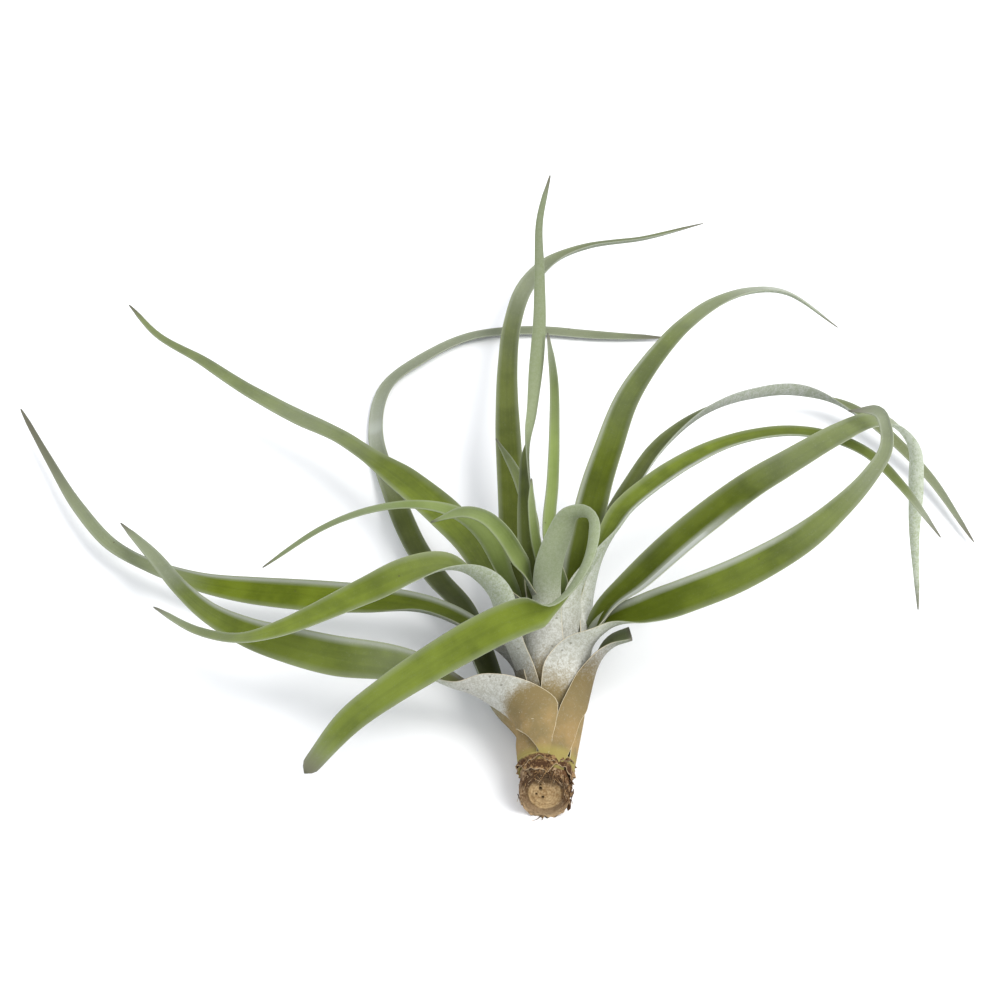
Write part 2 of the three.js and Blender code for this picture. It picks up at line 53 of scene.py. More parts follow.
def makeCamera():
    tilt = math.radians(cameraSetup["elevation"])
    target = Vector(cameraSetup["target"]) * mm
    back = Vector((0, -math.cos(tilt), math.sin(tilt)))
    data = bpy.data.cameras.new("camera")
    data.lens = cameraSetup["lens"]
    data.sensor_width = cameraSetup["sensor"]
    data.clip_start = 0.05
    data.clip_end = 20
    camera = bpy.data.objects.new("camera", data)
    camera.location = target + back * cameraSetup["distance"] * mm
    camera.rotation_mode = "QUATERNION"
    camera.rotation_quaternion = (-back).to_track_quat("-Z", "Y")
    bpy.context.collection.objects.link(camera)
    bpy.context.scene.camera = camera


makeCamera()
print("camera set")


# a node's output that takes part in sums
class Wire:
    def __init__(self, finish, socket):
        self.finish = finish
        self.socket = socket

    def maths(self, operation, *others):
        return self.finish.add("ShaderNodeMath", {"operation": operation}, dict(enumerate(others)))

    def __add__(self, other):
        return self.maths("ADD", self, other)

    def __radd__(self, other):
        return self.maths("ADD", other, self)

    def __sub__(self, other):
        return self.maths("SUBTRACT", self, other)

    def __rsub__(self, other):
        return self.maths("SUBTRACT", other, self)

    def __mul__(self, other):
        return self.maths("MULTIPLY", self, other)

    def __rmul__(self, other):
        return self.maths("MULTIPLY", other, self)

    def __abs__(self):
        return self.maths("ABSOLUTE", self)


# a material under construction
class Finish:
    def __init__(self, name):
        self.material = bpy.data.materials.new(name)
        self.material.use_nodes = True
        self.tree = self.material.node_tree
        self.shader = self.tree.nodes["Principled BSDF"]

    def put(self, socket, value):
        if isinstance(value, Wire):
            self.tree.links.new(value.socket, socket)
        elif isinstance(value, tuple) and len(value) == 3 and socket.type == "RGBA":
            socket.default_value = (*value, 1)
        else:
            socket.default_value = value

    def add(self, kind, settings, inputs, output=0):
        node = self.tree.nodes.new(kind)
        for key, value in settings.items():
            setattr(node, key, value)
        for key, value in inputs.items():
            self.put(node.inputs[key], value)
        return Wire(self, node.outputs[output])

    def attribute(self, name, output="Fac"):
        return self.add("ShaderNodeAttribute", {"attribute_name": name}, {}, output)

    def noise(self, coords, scale, detail=2.0, roughness=0.5):
        inputs = {"Vector": coords, "Scale": scale, "Detail": detail, "Roughness": roughness}
        return self.add("ShaderNodeTexNoise", {}, inputs, "Fac")

    def pits(self, coords, scale, size):
        inputs = {"Vector": coords, "Scale": scale}
        reach = self.add("ShaderNodeTexVoronoi", {}, inputs, "Distance")
        return 1 - self.step(reach, size * 0.4, size)

    def stretched(self, coords, scale):
        return self.add("ShaderNodeVectorMath", {"operation": "MULTIPLY"}, {0: coords, 1: scale})

    def shade(self, colour, amount):
        return self.add("ShaderNodeVectorMath", {"operation": "SCALE"}, {0: colour, "Scale": amount})

    def step(self, value, low, high):
        settings = {"interpolation_type": "SMOOTHSTEP"}
        return self.add("ShaderNodeMapRange", settings, {"Value": value, "From Min": low, "From Max": high})

    def mix(self, mask, first, second):
        settings = {"data_type": "RGBA"}
        inputs = {"Factor": mask, 6: first, 7: second}
        return self.add("ShaderNodeMix", settings, inputs, 2)

    def bump(self, height, strength, distance):
        inputs = {"Height": height, "Strength": strength, "Distance": distance}
        return self.add("ShaderNodeBump", {}, inputs)

    def finish(self, colour, roughness, normal=None, **fixed):
        self.put(self.shader.inputs["Base Color"], colour)
        self.put(self.shader.inputs["Roughness"], roughness)
        if normal is not None:
            self.put(self.shader.inputs["Normal"], normal)
        for key, value in fixed.items():
            self.shader.inputs[key].default_value = value
        return self.material


# each tone has a deep, shaded copy and a lit copy of its olive: painted shade and painted light, mixed in
# random clouds
leafTones = {
    "mature": {
        "deepAndShaded": (0.071, 0.097, 0.0032),
        "lit": (0.132, 0.173, 0.0115),
        "under": (0.179, 0.214, 0.103),
        "silver": (0.357, 0.385, 0.321),
    },
    "young": {
        "deepAndShaded": (0.121, 0.171, 0.025),
        "lit": (0.186, 0.246, 0.054),
        "under": (0.171, 0.222, 0.089),
        "silver": (0.300, 0.336, 0.250),
    },
    "low": {
        "deepAndShaded": (0.086, 0.111, 0.0086),
        "lit": (0.153, 0.189, 0.025),
        "under": (0.179, 0.214, 0.117),
        "silver": (0.400, 0.418, 0.379),
    },
}

leafFinish = {
    "dust": (0.272, 0.293, 0.236),
    "paleDust": (0.429, 0.450, 0.415),
    "margin": (0.214, 0.243, 0.121),
    "heart": (0.036, 0.024, 0.0093),
    "gold": (0.280, 0.193, 0.082),
    "brown": (0.190, 0.146, 0.066),
    "olive": (0.171, 0.153, 0.093),
    "frost": (0.495, 0.500, 0.462),
    "cream": (0.572, 0.500, 0.357),
    "fresh": (0.264, 0.222, 0.064),
    "dryTip": (0.110, 0.098, 0.080),
    "pit": (0.071, 0.057, 0.032),
}


# texture scales per metre; pits, dots and scratches are (scale, size) pairs
leafGrain = {
    "clouds": 42,
    "blotches": 190,
    "scales": 900,
    "speck": 2300,
    "streaks": (1.7, 0.035, 1.0),
    "pits": (125, 0.05),
    "dots": (330, 0.16),
    "scratches": (500, 0.10),
    "scratchStretch": (0.28, 1.0, 1.0),
    "bump": 0.22,
    "bumpHeight": 0.0003,  # metres
}


def makeLeafFinish(name, tone):
    f = Finish(name)
    across = f.attribute("across")
    upper = f.attribute("upper")
    sheath = f.attribute("sheath")
    rise = f.attribute("rise")
    silverFrom = f.attribute("silverFrom")
    tint = f.attribute("tint")
    coat = f.attribute("coat")
    dust = f.attribute("dust")
    tip = f.attribute("tip")
    grain = f.attribute("grain", "Vector")
    place = f.add("ShaderNodeTexCoord", {}, {}, "Object")

    clouds = f.noise(place, leafGrain["clouds"], 3, 0.55)
    blotches = f.noise(place, leafGrain["blotches"], 3, 0.55)
    speck = f.noise(place, leafGrain["speck"], 2, 0.6)
    scales = f.noise(place, leafGrain["scales"], 3, 0.6)
    grit = speck * 0.55 + scales * 0.45
    streaks = f.noise(f.stretched(grain, leafGrain["streaks"]), 1.0, 3, 0.6)
    edge = abs(across)
    rim = f.step(edge, 0.90, 0.985)
    midrib = 1 - f.step(edge + (clouds - 0.5) * 0.3, 0.0, 0.22)

    # upper side: olive clouds between a shaded and a lit copy of the green, partly real mottling and partly
    # painted light and shade, with a darker channel of painted shade in its crease, greyer towards the
    # margins
    body = f.step(clouds * 0.6 + blotches * 0.28 + streaks * 0.12, 0.34, 0.62)
    green = f.mix(body, tone["deepAndShaded"], tone["lit"])
    green = f.mix(midrib * 0.25, green, tone["deepAndShaded"])
    # brightness along the leaf: partly the leaf's own tone, partly painted shade at crowded bases and
    # painted light on lifted parts
    green = f.shade(green, tint)
    bloom = dust + 0.26 * f.step(edge, 0.55, 1.0) + f.step(grit, 0.52, 0.68) * (0.04 + 0.25 * dust)
    green = f.mix(bloom * (0.75 + 0.5 * clouds), green, leafFinish["dust"])
    green = f.mix(f.step(dust, 0.9, 1.0) * 0.8, green, leafFinish["paleDust"])
    green = f.mix(rim * 0.55, green, leafFinish["margin"])
    green = f.mix(f.pits(place, *leafGrain["pits"]) * 0.6, green, leafFinish["pit"])

    # underside: sage under a coat of fine silver scales
    cover = f.step(grit + (clouds - 0.5) * 0.25, 0.36, 0.66)
    sage = f.mix((0.35 + 0.65 * cover) * (coat + 0.3 * dust), tone["under"], tone["silver"])
    # the same brightness on the underside: partly its own tone, partly painted shade and painted light
    sage = f.shade(sage, tint)
    # the underside's rim lifted to silver: partly a silver margin, partly a painted rim highlight
    sage = f.mix(rim * 0.35, sage, tone["silver"])
    blade = f.mix(upper, sage, green)
    blade = f.mix(tip * 0.75, blade, leafFinish["dryTip"])

    # sheath: gold by the stump, frosted silver higher up, dark inside: brown with painted shade in the
    # cavity
    low = f.mix(f.step(clouds * 0.4 + blotches * 0.6, 0.36, 0.62), leafFinish["brown"], leafFinish["gold"])
    low = f.mix(f.step(rise, 20.0, 32.0) * 0.85, low, leafFinish["brown"])
    low = f.mix(f.step(grit, 0.50, 0.70) * 0.14, low, leafFinish["frost"])
    frosted = f.mix(0.58 + f.step(grit, 0.40, 0.62) * 0.42, leafFinish["olive"], leafFinish["frost"])
    high = f.step(rise - silverFrom + (clouds - 0.5) * 10 + (grit - 0.5) * 10, -5.5, 5.5)
    scratches = f.pits(f.stretched(place, leafGrain["scratchStretch"]), *leafGrain["scratches"])
    low = f.mix(scratches * 0.5, low, leafFinish["cream"])
    # the sheath's outside takes the same brightness: partly its own tone, partly painted shade
    outside = f.shade(f.mix(high, low, frosted), tint)
    dots = f.pits(place, *leafGrain["dots"]) * high
    outside = f.mix(dots * 0.55, outside, leafFinish["pit"])
    outside = f.mix((1 - f.step(rise, 15.0, 17.5)) * 0.75, outside, leafFinish["fresh"])
    outside = f.mix(f.step(edge, 0.955, 0.988) * 0.8, outside, leafFinish["cream"])
    # inside of the sheath: dark brown with painted shade, turning to the leaf's green higher up
    inside = f.mix(f.step(rise, 34.0, 62.0), leafFinish["heart"], green)
    skin = f.mix(upper, outside, inside)

    colour = f.mix(sheath, blade, skin)
    roughness = 0.55 + (1 - upper) * 0.15 + scales * 0.1
    height = streaks * 0.8 + grit * (1.1 - upper * 0.7)
    normal = f.bump(height, leafGrain["bump"], leafGrain["bumpHeight"])
    return f.finish(colour, roughness, normal, **{"Specular IOR Level": 0.10})


leafMaterials = {tone: makeLeafFinish("leaf " + tone, values) for tone, values in leafTones.items()}
print("leaf finishes made")

stem = {
    "start": Vector((0, -5, 5.5)),
    "axis": Vector((0.06, 0.974, 0.22)).normalized(),
    "profile": [[0, 6.5], [3, 6.8], [8, 7.0], [12, 7.0], [20, 6.5], [35, 5.3], [50, 3.4], [57, 1.6]],
    "cutPoint": Vector((0, -1.8, 0)),
    "cutNormal": Vector((-0.06, -0.96, 0.26)).normalized(),
}
stemUp = (Vector((0, 0, 1)) - stem["axis"] * stem["axis"].z).normalized()
stemRight = stem["axis"].cross(stemUp)


def lerp(a, b, t):
    return a + (b - a) * t


def ease(value, low, high):
    t = min(1.0, max(0.0, (value - low) / (high - low)))
    return t * t * (3 - 2 * t)


def stemRadius(along):
    profile = stem["profile"]
    for (a, ra), (b, rb) in zip(profile, profile[1:]):
        if along <= b:
            return lerp(ra, rb, max(0.0, along - a) / (b - a))
    return profile[-1][1]


def radialAt(angle):
    turn = math.radians(angle)
    return stemUp * math.cos(turn) + stemRight * math.sin(turn)


def aroundStem(along, angle, radius):
    return stem["start"] + stem["axis"] * along + radialAt(angle) * radius


def riseOf(point):
    return (point - stem["start"]).dot(stem["axis"])


leafShape = {
    "footStandoff": 0.85,
    "footDrop": 3.4,
    "outerBelow": 16,
    "midThickness": 0.95,
    "sheathThickness": 0.6,
    "marginThickness": 0.26,
    "columns": 16,
    "marksPerRow": 40,
    "turnReach": 0.6,
    "stationStep": 1.4,
    "tipWidth": 0.3,
    "wave": 0.16,
    "twist": 5.0,
    "floorGap": 0.15,
    "leastReach": 2.0,
    "tipRound": 0.6,
    "twistRate": 0.03,
    "swell": 0.03,
    "swellRate": 0.06,
    "waveRate": 0.12,
    "fullWave": 6,
    "hemSoft": 0.22,
    "hemFade": 0.12,
    "seed": (11.0, 1.37),
}

# what a leaf has unless its own entry says otherwise; tones are (share of the length, value) pairs,
# and a pale hem, partly silver scales and partly painted sheen, is its side, how far it runs, where it
# starts across, and how strong it is
leafDefaults = {
    "slot": "leaf",
    "tone": "mature",
    "end": "point",
    "silverFrom": [(0.0, 42)],
    "underToneAndShade": [(0.0, 1.0)],
    "hemScalesAndSheen": None,
    "sheathEnd": None,
    "flare": 0.25,
    "tipLength": 7.0,
    "dryFrom": 0.94,
}

# clasp rows: distance along the stem, angle round it from the top, half spread
# blade rows: x, y, z, width, half curl, the way the upper side looks
# silverFrom: distance along the stem where the golden sheath turns silver
# tint and underToneAndShade: brightness along the upper and under side, partly the leaf's own tone, partly
# painted shade and painted light
leafEntries = [
    {
        "name": "leaf_cut_stub", "silverFrom": [(0.0, 44)], "end": "cut", "dryFrom": 0.99,
        "tint": [(0.0, 0.8), (1.0, 0.7)],
        "underToneAndShade": [(0.35, 0.9), (0.75, 0.68)],
        "dust": [(0.0, 0.0), (1.0, 0.3)],
        "coat": 0.8,
        "foot": 14, "sheathEnd": (6.2, 8.0),
        "clasp": [[14, 24, 20], [20, 31, 21], [26, 35, 20], [30, 42, 20]],
        "blade": [
            [13, 31, 18.5, 9.5, 45, (-0.75, 0.1, -0.3)],
            [16, 36, 22, 9.5, 50, (-0.7, 0.3, 0.2)],
            [19.5, 38.7, 24.5, 9, 52, (-0.5, 0.4, 0.7)],
            [24.5, 39.7, 26.5, 8, 50, (-0.3, 0.3, 0.9)],
        ],
    },
    {
        "name": "sheath_old", "slot": "dry_sheath", "silverFrom": [(0.0, 60)],
        "tint": [(0.0, 0.8)],
        "dust": [(0.0, 0.0)],
        "coat": 0.7,
        "foot": 15, "flare": 0.12,
        "clasp": [[15.5, 98, 44], [21, 98, 46], [27, 94, 38], [32, 88, 22]],
        "blade": [],
    },
    {
        "name": "leaf_low_left",
        "silverFrom": [(0.07, 46), (0.20, 22)],
        "tint": [(0.2, 1.1), (0.35, 1.0), (0.46, 0.8)],
        "dust": [(0.34, 0.25), (0.45, 0.06), (0.6, 0.03), (0.74, 0.1), (0.82, 0.5), (1.0, 0.55)],
        "coat": 0.9, "hemScalesAndSheen": (1, 0.85, 0.60, 0.75),
        "foot": 14.5, "flare": 0.34, "sheathEnd": (6.6, 8.2),
        "clasp": [[15, -2, 13], [18, -8, 18], [22, -14, 30], [25, -18, 36]],
        "blade": [
            [-9.7, 24, 18, 14.6, 52, (0.45, 0.7, -0.55)],
            [-15.7, 28, 15.8, 13, 56, (0.3, 0.85, -0.1)],
            [-24, 30.8, 15.8, 11.6, 54, (0.1, 0.6, 0.75)],
            [-32, 33.5, 18.5, 11.6, 46, (0, 0.25, 0.95)],
            [-43, 34, 22, 11.5, 36, (0, -0.3, 0.95)],
            [-57, 36, 23, 11.5, 32, (0, -0.6, 0.8)],
            [-70, 40, 23, 10.5, 32, (0, -0.6, 0.8)],
            [-81, 45, 22, 9, 34, (0, -0.5, 0.85)],
            [-93, 54, 20, 6.8, 38, (0, -0.3, 0.95)],
            [-102, 65, 18, 5.4, 40, (0.1, -0.2, 0.95)],
            [-112, 82, 14, 4.4, 40, (0.3, -0.4, 0.9)],
            [-123, 99, 10, 1.3, 38, (0.2, -0.4, 0.9)],
        ],
    },
    {
        "name": "leaf_loop", "tone": "low", "silverFrom": [(0.0, 46)],
        "tint": [(0.2, 0.35), (0.45, 0.55), (1.0, 0.6)],
        "underToneAndShade": [(0.06, 1.0), (0.16, 0.4), (0.25, 0.4), (0.45, 0.9)],
        "dust": [(0.4, 0.05), (0.5, 0.4), (0.56, 0.95), (0.64, 0.6), (1.0, 0.4)],
        "coat": 0.7,
        "foot": 15, "flare": 0.15, "sheathEnd": (3.2, 4.8),
        "clasp": [[15.5, -85, 66], [20, -92, 62], [24, -112, 38]],
        "blade": [
            [-13, 30, 7, 11, 55, (0.8, 0, 0.6)],
            [-17, 45, 8, 10.5, 50, (0.6, 0, 0.8)],
            [-23, 66, 8, 9.5, 42, (0.4, 0, 0.9)],
            [-30.5, 80, 6, 8.2, 38, (0.3, -0.2, 1)],
            [-37, 95, 4, 7.6, 38, (0.2, -0.2, 1)],
            [-43, 115, 3, 6.5, 38, (-0.2, -0.1, 1)],
            [-49.5, 144, 1.5, 5, 38, (-0.4, 0, 0.9)],
            [-47, 165, 1.2, 5, 38, (-0.2, 0.3, 0.9)],
            [-37, 177, 1.2, 5, 38, (0, 0.3, 0.9)],
            [-21, 188, 1.2, 5, 38, (0, 0.3, 0.9)],
            [-2, 191, 1, 4.8, 38, (0, 0.2, 0.95)],
            [20, 189, 0.9, 4, 38, (0, 0.1, 1)],
            [41, 188, 1.2, 1.6, 38, (0, 0.1, 1)],
        ],
    },
    {
        "name": "leaf_front_right", "silverFrom": [(0.0, 38)],
        "tint": [(0.12, 0.6), (0.3, 0.75), (0.6, 0.72), (0.75, 0.62), (1.0, 0.9)],
        "dust": [(0.3, 0.0), (0.5, 0.04), (0.65, 0.14), (0.8, 0.38), (1.0, 0.7)],
        "coat": 0.85, "hemScalesAndSheen": (-1, 0.65, 0.58, 0.75),
        "foot": 22, "flare": 0.16,
        "clasp": [[23, 60, 68], [29, 50, 64], [35, 44, 60], [41, 46, 53]],
        "blade": [
            [18, 42, 28, 12.5, 64, (-0.3, 0.5, 0.8)],
            [28, 44, 32, 11, 48, (-0.1, -0.1, 0.95)],
            [38, 46, 36, 10, 36, (0, -0.6, 0.8)],
            [54, 51, 40, 10, 36, (0, -0.6, 0.8)],
            [71, 60, 44, 8.6, 36, (0, -0.6, 0.8)],
            [82, 70, 46, 6.8, 40, (0, -0.7, 0.7)],
            [91, 81, 47, 5.2, 45, (0, -0.7, 0.7)],
            [97, 91, 48, 4.2, 45, (-0.2, -0.6, 0.7)],
            [98, 100, 48, 3.8, 45, (-0.2, -0.6, 0.7)],
            [96, 107, 48, 3.4, 45, (0, -0.7, 0.7)],
            [88, 108, 47, 1.3, 40, (0, -0.7, 0.7)],
        ],
    },
    {
        "name": "leaf_arch_left", "silverFrom": [(0.0, 40)],
        "tint": [(0.36, 0.85), (0.46, 0.9), (0.56, 1.15), (0.66, 1.15), (0.76, 0.95)],
        "underToneAndShade": [(0.1, 0.9), (0.28, 1.15), (0.36, 1.15)],
        "dust": [(0.35, 0.12), (0.5, 0.05), (0.7, 0.08), (0.8, 0.3), (1.0, 0.6)],
        "coat": 0.95,
        "foot": 27, "flare": 0.18,
        "clasp": [[28, -54, 46], [35, -66, 44], [41, -72, 42]],
        "blade": [
            [-11, 42, 27, 12, 50, (0.8, 0.3, -0.4)],
            [-13, 48, 34, 11.5, 50, (0.6, 0.7, -0.1)],
            [-18, 50, 39.5, 11.5, 52, (0.3, 0.8, 0.4)],
            [-26, 51, 43, 11, 50, (0.1, 0.4, 0.9)],
            [-36, 49, 43, 9.6, 42, (0, -0.1, 1)],
            [-48, 44, 41, 8, 38, (0, -0.5, 0.85)],
            [-72, 36, 34, 5, 40, (0, -0.3, 0.95)],
            [-83, 35.4, 31, 3.4, 40, (0, -0.2, 1)],
            [-95, 41.5, 27, 2.8, 40, (0, -0.2, 1)],
            [-109, 56, 21, 1.3, 38, (0, -0.3, 0.95)],
        ],
    },
    {
        "name": "leaf_far_left",
        "tint": [(0.1, 0.45), (0.28, 0.7), (0.4, 0.95), (0.55, 0.85), (1.0, 0.8)],
        "underToneAndShade": [(0.15, 0.5), (0.35, 0.9)],
        "dust": [(0.5, 0.0), (0.6, 0.45), (0.8, 0.5), (1.0, 0.4)],
        "coat": 0.7, "dryFrom": 0.72, "hemScalesAndSheen": (1, 0.75, 0.62, 0.75),
        "foot": 28,
        "clasp": [[30, -92, 50], [38, -96, 46], [45, -98, 40]],
        "blade": [
            [-19, 51, 16, 10.5, 50, (0, 0.6, 0.8)],
            [-32, 60, 15, 11, 48, (0, 0.45, 0.9)],
            [-49, 65, 13, 10.5, 38, (0, -0.1, 1)],
            [-66, 68, 12, 10, 36, (0, -0.4, 0.9)],
            [-84, 72, 10, 8.6, 36, (0, -0.4, 0.9)],
            [-98, 76, 9, 6.4, 38, (0, -0.3, 0.95)],
            [-113, 84, 7, 4.8, 38, (0, -0.1, 1)],
            [-125, 93, 6, 4.6, 38, (-0.1, 0, 1)],
            [-137, 110, 5, 3.8, 38, (-0.2, -0.1, 1)],
            [-148, 131, 4, 2.4, 38, (-0.2, 0, 1)],
            [-159, 153, 4, 1.3, 38, (-0.2, 0, 1)],
        ],
    },
    {
        "name": "leaf_upper_right", "silverFrom": [(0.0, 40)],
        "tint": [(0.15, 0.55), (0.3, 0.5), (0.5, 0.6), (0.7, 0.9)],
        "underToneAndShade": [(0.6, 1.0), (0.72, 1.3)],
        "dust": [(0.4, 0.0), (0.55, 0.2), (0.66, 0.25), (0.74, 0.9), (0.82, 0.7), (1.0, 0.5)],
        "coat": 0.95, "hemScalesAndSheen": (1, 0.44, 0.28, 1.0),
        "foot": 28, "flare": 0.22,
        "clasp": [[30, 74, 54], [37, 70, 50], [43, 66, 44]],
        "blade": [
            [18, 48, 29, 9, 45, (-0.5, 0.1, 0.8)],
            [26.2, 53.4, 34, 10, 48, (-0.1, 0, 0.95)],
            [35.2, 61.4, 37.5, 10.6, 48, (0, -0.05, 0.98)],
            [47.2, 72.4, 40, 10.4, 46, (0, -0.1, 0.98)],
            [59, 83.3, 41, 9.8, 42, (0, -0.15, 0.95)],
            [71, 92.5, 41.5, 8.8, 42, (0, -0.15, 0.95)],
            [85, 103, 42, 7.4, 42, (0, -0.2, 0.95)],
            [95, 109.5, 41, 6.4, 45, (0.2, 0, 0.98)],
            [102, 110, 39, 5.6, 45, (0.6, 0.4, 0.6)],
            [107, 105, 35, 5.8, 42, (0.6, 0.75, 0.1)],
            [108, 98, 27, 5.4, 40, (0.5, 0.85, 0)],
            [108, 89, 15, 3.6, 40, (0.5, 0.85, 0)],
            [109, 72, 2, 1.3, 40, (0.5, 0.85, 0)],
        ],
    },
    {
        "name": "leaf_low_right", "tone": "low", "silverFrom": [(0.0, 40)],
        "tint": [(0.1, 0.4), (0.45, 0.55), (0.7, 0.7), (0.8, 0.6)],
        "underToneAndShade": [(0.36, 1.0), (0.46, 0.65), (0.6, 0.8)],
        "dust": [(0.45, 0.05), (0.6, 0.3), (0.8, 0.25), (1.0, 0.6)],
        "coat": 0.95,
        "foot": 33,
        "clasp": [[35, 98, 52], [43, 92, 46], [50, 84, 40]],
        "blade": [
            [14, 58, 21, 13, 50, (-0.8, 0.2, 0)],
            [16.4, 70, 24, 12.5, 48, (-0.8, 0.1, 0.2)],
            [21.2, 83, 26, 11, 46, (-0.6, 0.2, 0.7)],
            [27.4, 98, 27.6, 8, 46, (-0.4, 0.45, 0.8)],
            [35.4, 114, 26, 7.8, 52, (-0.25, 0.6, 0.7)],
            [49, 133.6, 20.8, 7.4, 52, (-0.1, 0.85, 0.4)],
            [64.5, 147.8, 14.2, 7.2, 50, (0, 0.95, 0.2)],
            [80.2, 154.3, 9.4, 6.8, 48, (0.1, 0.9, 0.3)],
            [96, 149, 7, 6, 46, (0, 0.4, 0.9)],
            [115, 127, 4, 4, 42, (0, 0.2, 0.95)],
            [128, 99, 2, 1.3, 40, (0, 0.2, 0.95)],
        ],
    },
    {
        "name": "leaf_folded", "silverFrom": [(0.0, 44)],
        "tint": [(0.15, 1.0), (0.48, 1.0), (0.54, 1.08), (0.75, 1.05), (0.85, 0.95)],
        "underToneAndShade": [(0.15, 1.0), (0.28, 1.1), (0.36, 1.25), (0.48, 0.95)],
        "dust": [(0.5, 0.03), (0.9, 0.08), (1.0, 0.4)],
        "coat": 0.35,
        "foot": 34, "tipLength": 3.0,
        "clasp": [[36, 0, 55], [44, -14, 40], [51, -16, 30]],
        "blade": [
            [1, 48, 32, 9, 50, (0, 0.3, -0.95)],
            [2, 53, 41, 8.6, 40, (-0.3, 0.7, -0.6)],
            [5, 57, 49, 8.6, 40, (-0.4, 0.8, -0.3)],
            [8, 59, 54.5, 8.6, 40, (-0.3, 0.9, 0.2)],
            [12, 58, 56, 8.2, 40, (0.4, 0.7, 0.3)],
            [13, 52.5, 56, 7.2, 40, (0.85, 0.25, -0.3)],
            [11.6, 45, 53.5, 6.8, 40, (0.88, 0.05, -0.35)],
            [8, 38, 51, 7.2, 40, (0.85, -0.2, -0.35)],
            [4.8, 34.5, 49, 7.2, 42, (0.75, -0.4, -0.3)],
            [1.2, 32, 47.6, 8, 45, (0.7, -0.5, -0.1)],
            [-3.5, 31, 46.6, 10.6, 50, (0.4, -0.55, 0.6)],
            [-10, 29.4, 44.4, 11, 40, (0.1, -0.6, 0.8)],
            [-18, 28, 40, 10.8, 34, (0, -0.6, 0.8)],
            [-30, 24, 34, 10.2, 34, (0, -0.6, 0.8)],
            [-42, 19, 28, 9, 34, (0, -0.6, 0.8)],
            [-53, 14, 21, 7.6, 34, (0, -0.6, 0.8)],
            [-65, 6, 9, 4.8, 34, (0, -0.6, 0.8)],
        ],
    },
    {
        "name": "leaf_back_left",
        "tint": [(0.2, 0.6), (0.35, 1.0), (0.46, 0.75), (0.6, 0.9)],
        "dust": [(0.45, 0.05), (0.52, 0.25), (0.6, 0.42), (0.75, 0.3), (1.0, 0.3)],
        "coat": 0.7,
        "foot": 34,
        "clasp": [[36, -84, 50], [44, -84, 45], [51, -80, 40]],
        "blade": [
            [-18, 75, 21, 10.5, 40, (0.1, -0.1, 1)],
            [-27, 91, 20, 11, 38, (0, -0.3, 0.95)],
            [-40, 108, 18, 9.5, 38, (0, -0.3, 0.95)],
            [-50, 119, 16, 8, 40, (0, 0.3, 0.95)],
            [-60, 129, 15, 7, 40, (0, 0.3, 0.95)],
            [-72, 138, 14, 6.2, 40, (0, 0, 1)],
            [-88, 151, 13, 5, 40, (0, -0.1, 1)],
            [-104, 167, 11, 3.8, 40, (0, -0.1, 1)],
            [-118, 179, 10, 2.6, 40, (0, 0, 1)],
            [-129, 196, 8, 1.3, 40, (0, 0, 1)],
        ],
    },
    {
        "name": "leaf_middle_right", "silverFrom": [(0.0, 40)],
        "tint": [(0.15, 0.9), (0.5, 1.0), (0.7, 0.7), (1.0, 0.6)],
        "dust": [(0.5, 0.04), (0.75, 0.06), (0.88, 0.14), (0.97, 0.7)],
        "coat": 0.8, "hemScalesAndSheen": (1, 0.60, 0.28, 1.0),
        "foot": 38,
        "clasp": [[40, 58, 48], [46, 50, 44], [51, 44, 40]],
        "blade": [
            [9.8, 53, 31, 8, 50, (-0.6, 0.3, -0.3)],
            [14.4, 60, 35, 7.6, 50, (-0.75, 0.35, 0.2)],
            [18.8, 67, 38, 8.6, 50, (-0.45, 0.3, 0.65)],
            [23.2, 75.3, 39, 9.4, 58, (-0.2, 0.35, 0.9)],
            [29.7, 82.3, 40, 9.2, 58, (-0.1, 0.3, 0.95)],
            [41.2, 93.1, 40, 8.4, 54, (0, 0.25, 0.98)],
            [55, 103, 39, 7, 46, (0, 0.3, 0.95)],
            [71, 109, 37, 6.2, 46, (0, 0.3, 0.95)],
            [82, 108.5, 36, 5.4, 44, (0, 0.2, 0.98)],
            [94, 103.5, 34, 4.4, 42, (0, 0.1, 1)],
            [103, 94, 31, 3.4, 42, (0, 0.1, 1)],
            [114, 80, 24, 1.3, 40, (0, 0.1, 1)],
        ],
    },
    {
        "name": "leaf_thin_left", "tone": "young",
        "tint": [(0.1, 0.5), (0.35, 0.75), (0.6, 0.9), (0.75, 0.7)],
        "dust": [(0.3, 0.05), (0.55, 0.15), (0.7, 0.35)],
        "coat": 0.5,
        "foot": 40,
        "clasp": [[42, -56, 48], [48, -54, 44], [53, -50, 38]],
        "blade": [
            [-11, 58, 31, 7.6, 50, (0.3, 0.3, 0.8)],
            [-14, 64, 37, 7.2, 48, (-0.1, 0.2, 1)],
            [-19, 68.5, 41, 6.2, 45, (-0.2, 0.1, 1)],
            [-26, 72, 43, 4.8, 45, (0, 0, 1)],
            [-36, 73.3, 44, 3.6, 45, (0, 0, 1)],
            [-48, 72.3, 43, 2.8, 45, (0, 0, 1)],
            [-61, 68.5, 40, 2.2, 42, (0, 0, 1)],
            [-78, 60, 33, 1.2, 40, (0, 0, 1)],
        ],
    },
    {
        "name": "leaf_back_low", "tone": "low",
        "tint": [(0.1, 0.5), (0.5, 0.52), (1.0, 0.7)],
        "underToneAndShade": [(0.25, 0.5), (0.45, 0.8)],
        "dust": [(0.3, 0.0), (0.5, 0.05), (0.6, 0.15), (0.72, 0.5), (0.85, 0.3)],
        "coat": 0.6,
        "foot": 40,
        "clasp": [[42, -158, 48], [48, -154, 44], [54, -148, 38]],
        "blade": [
            [-7.5, 72, 9, 8.3, 40, (0.2, -0.1, 1)],
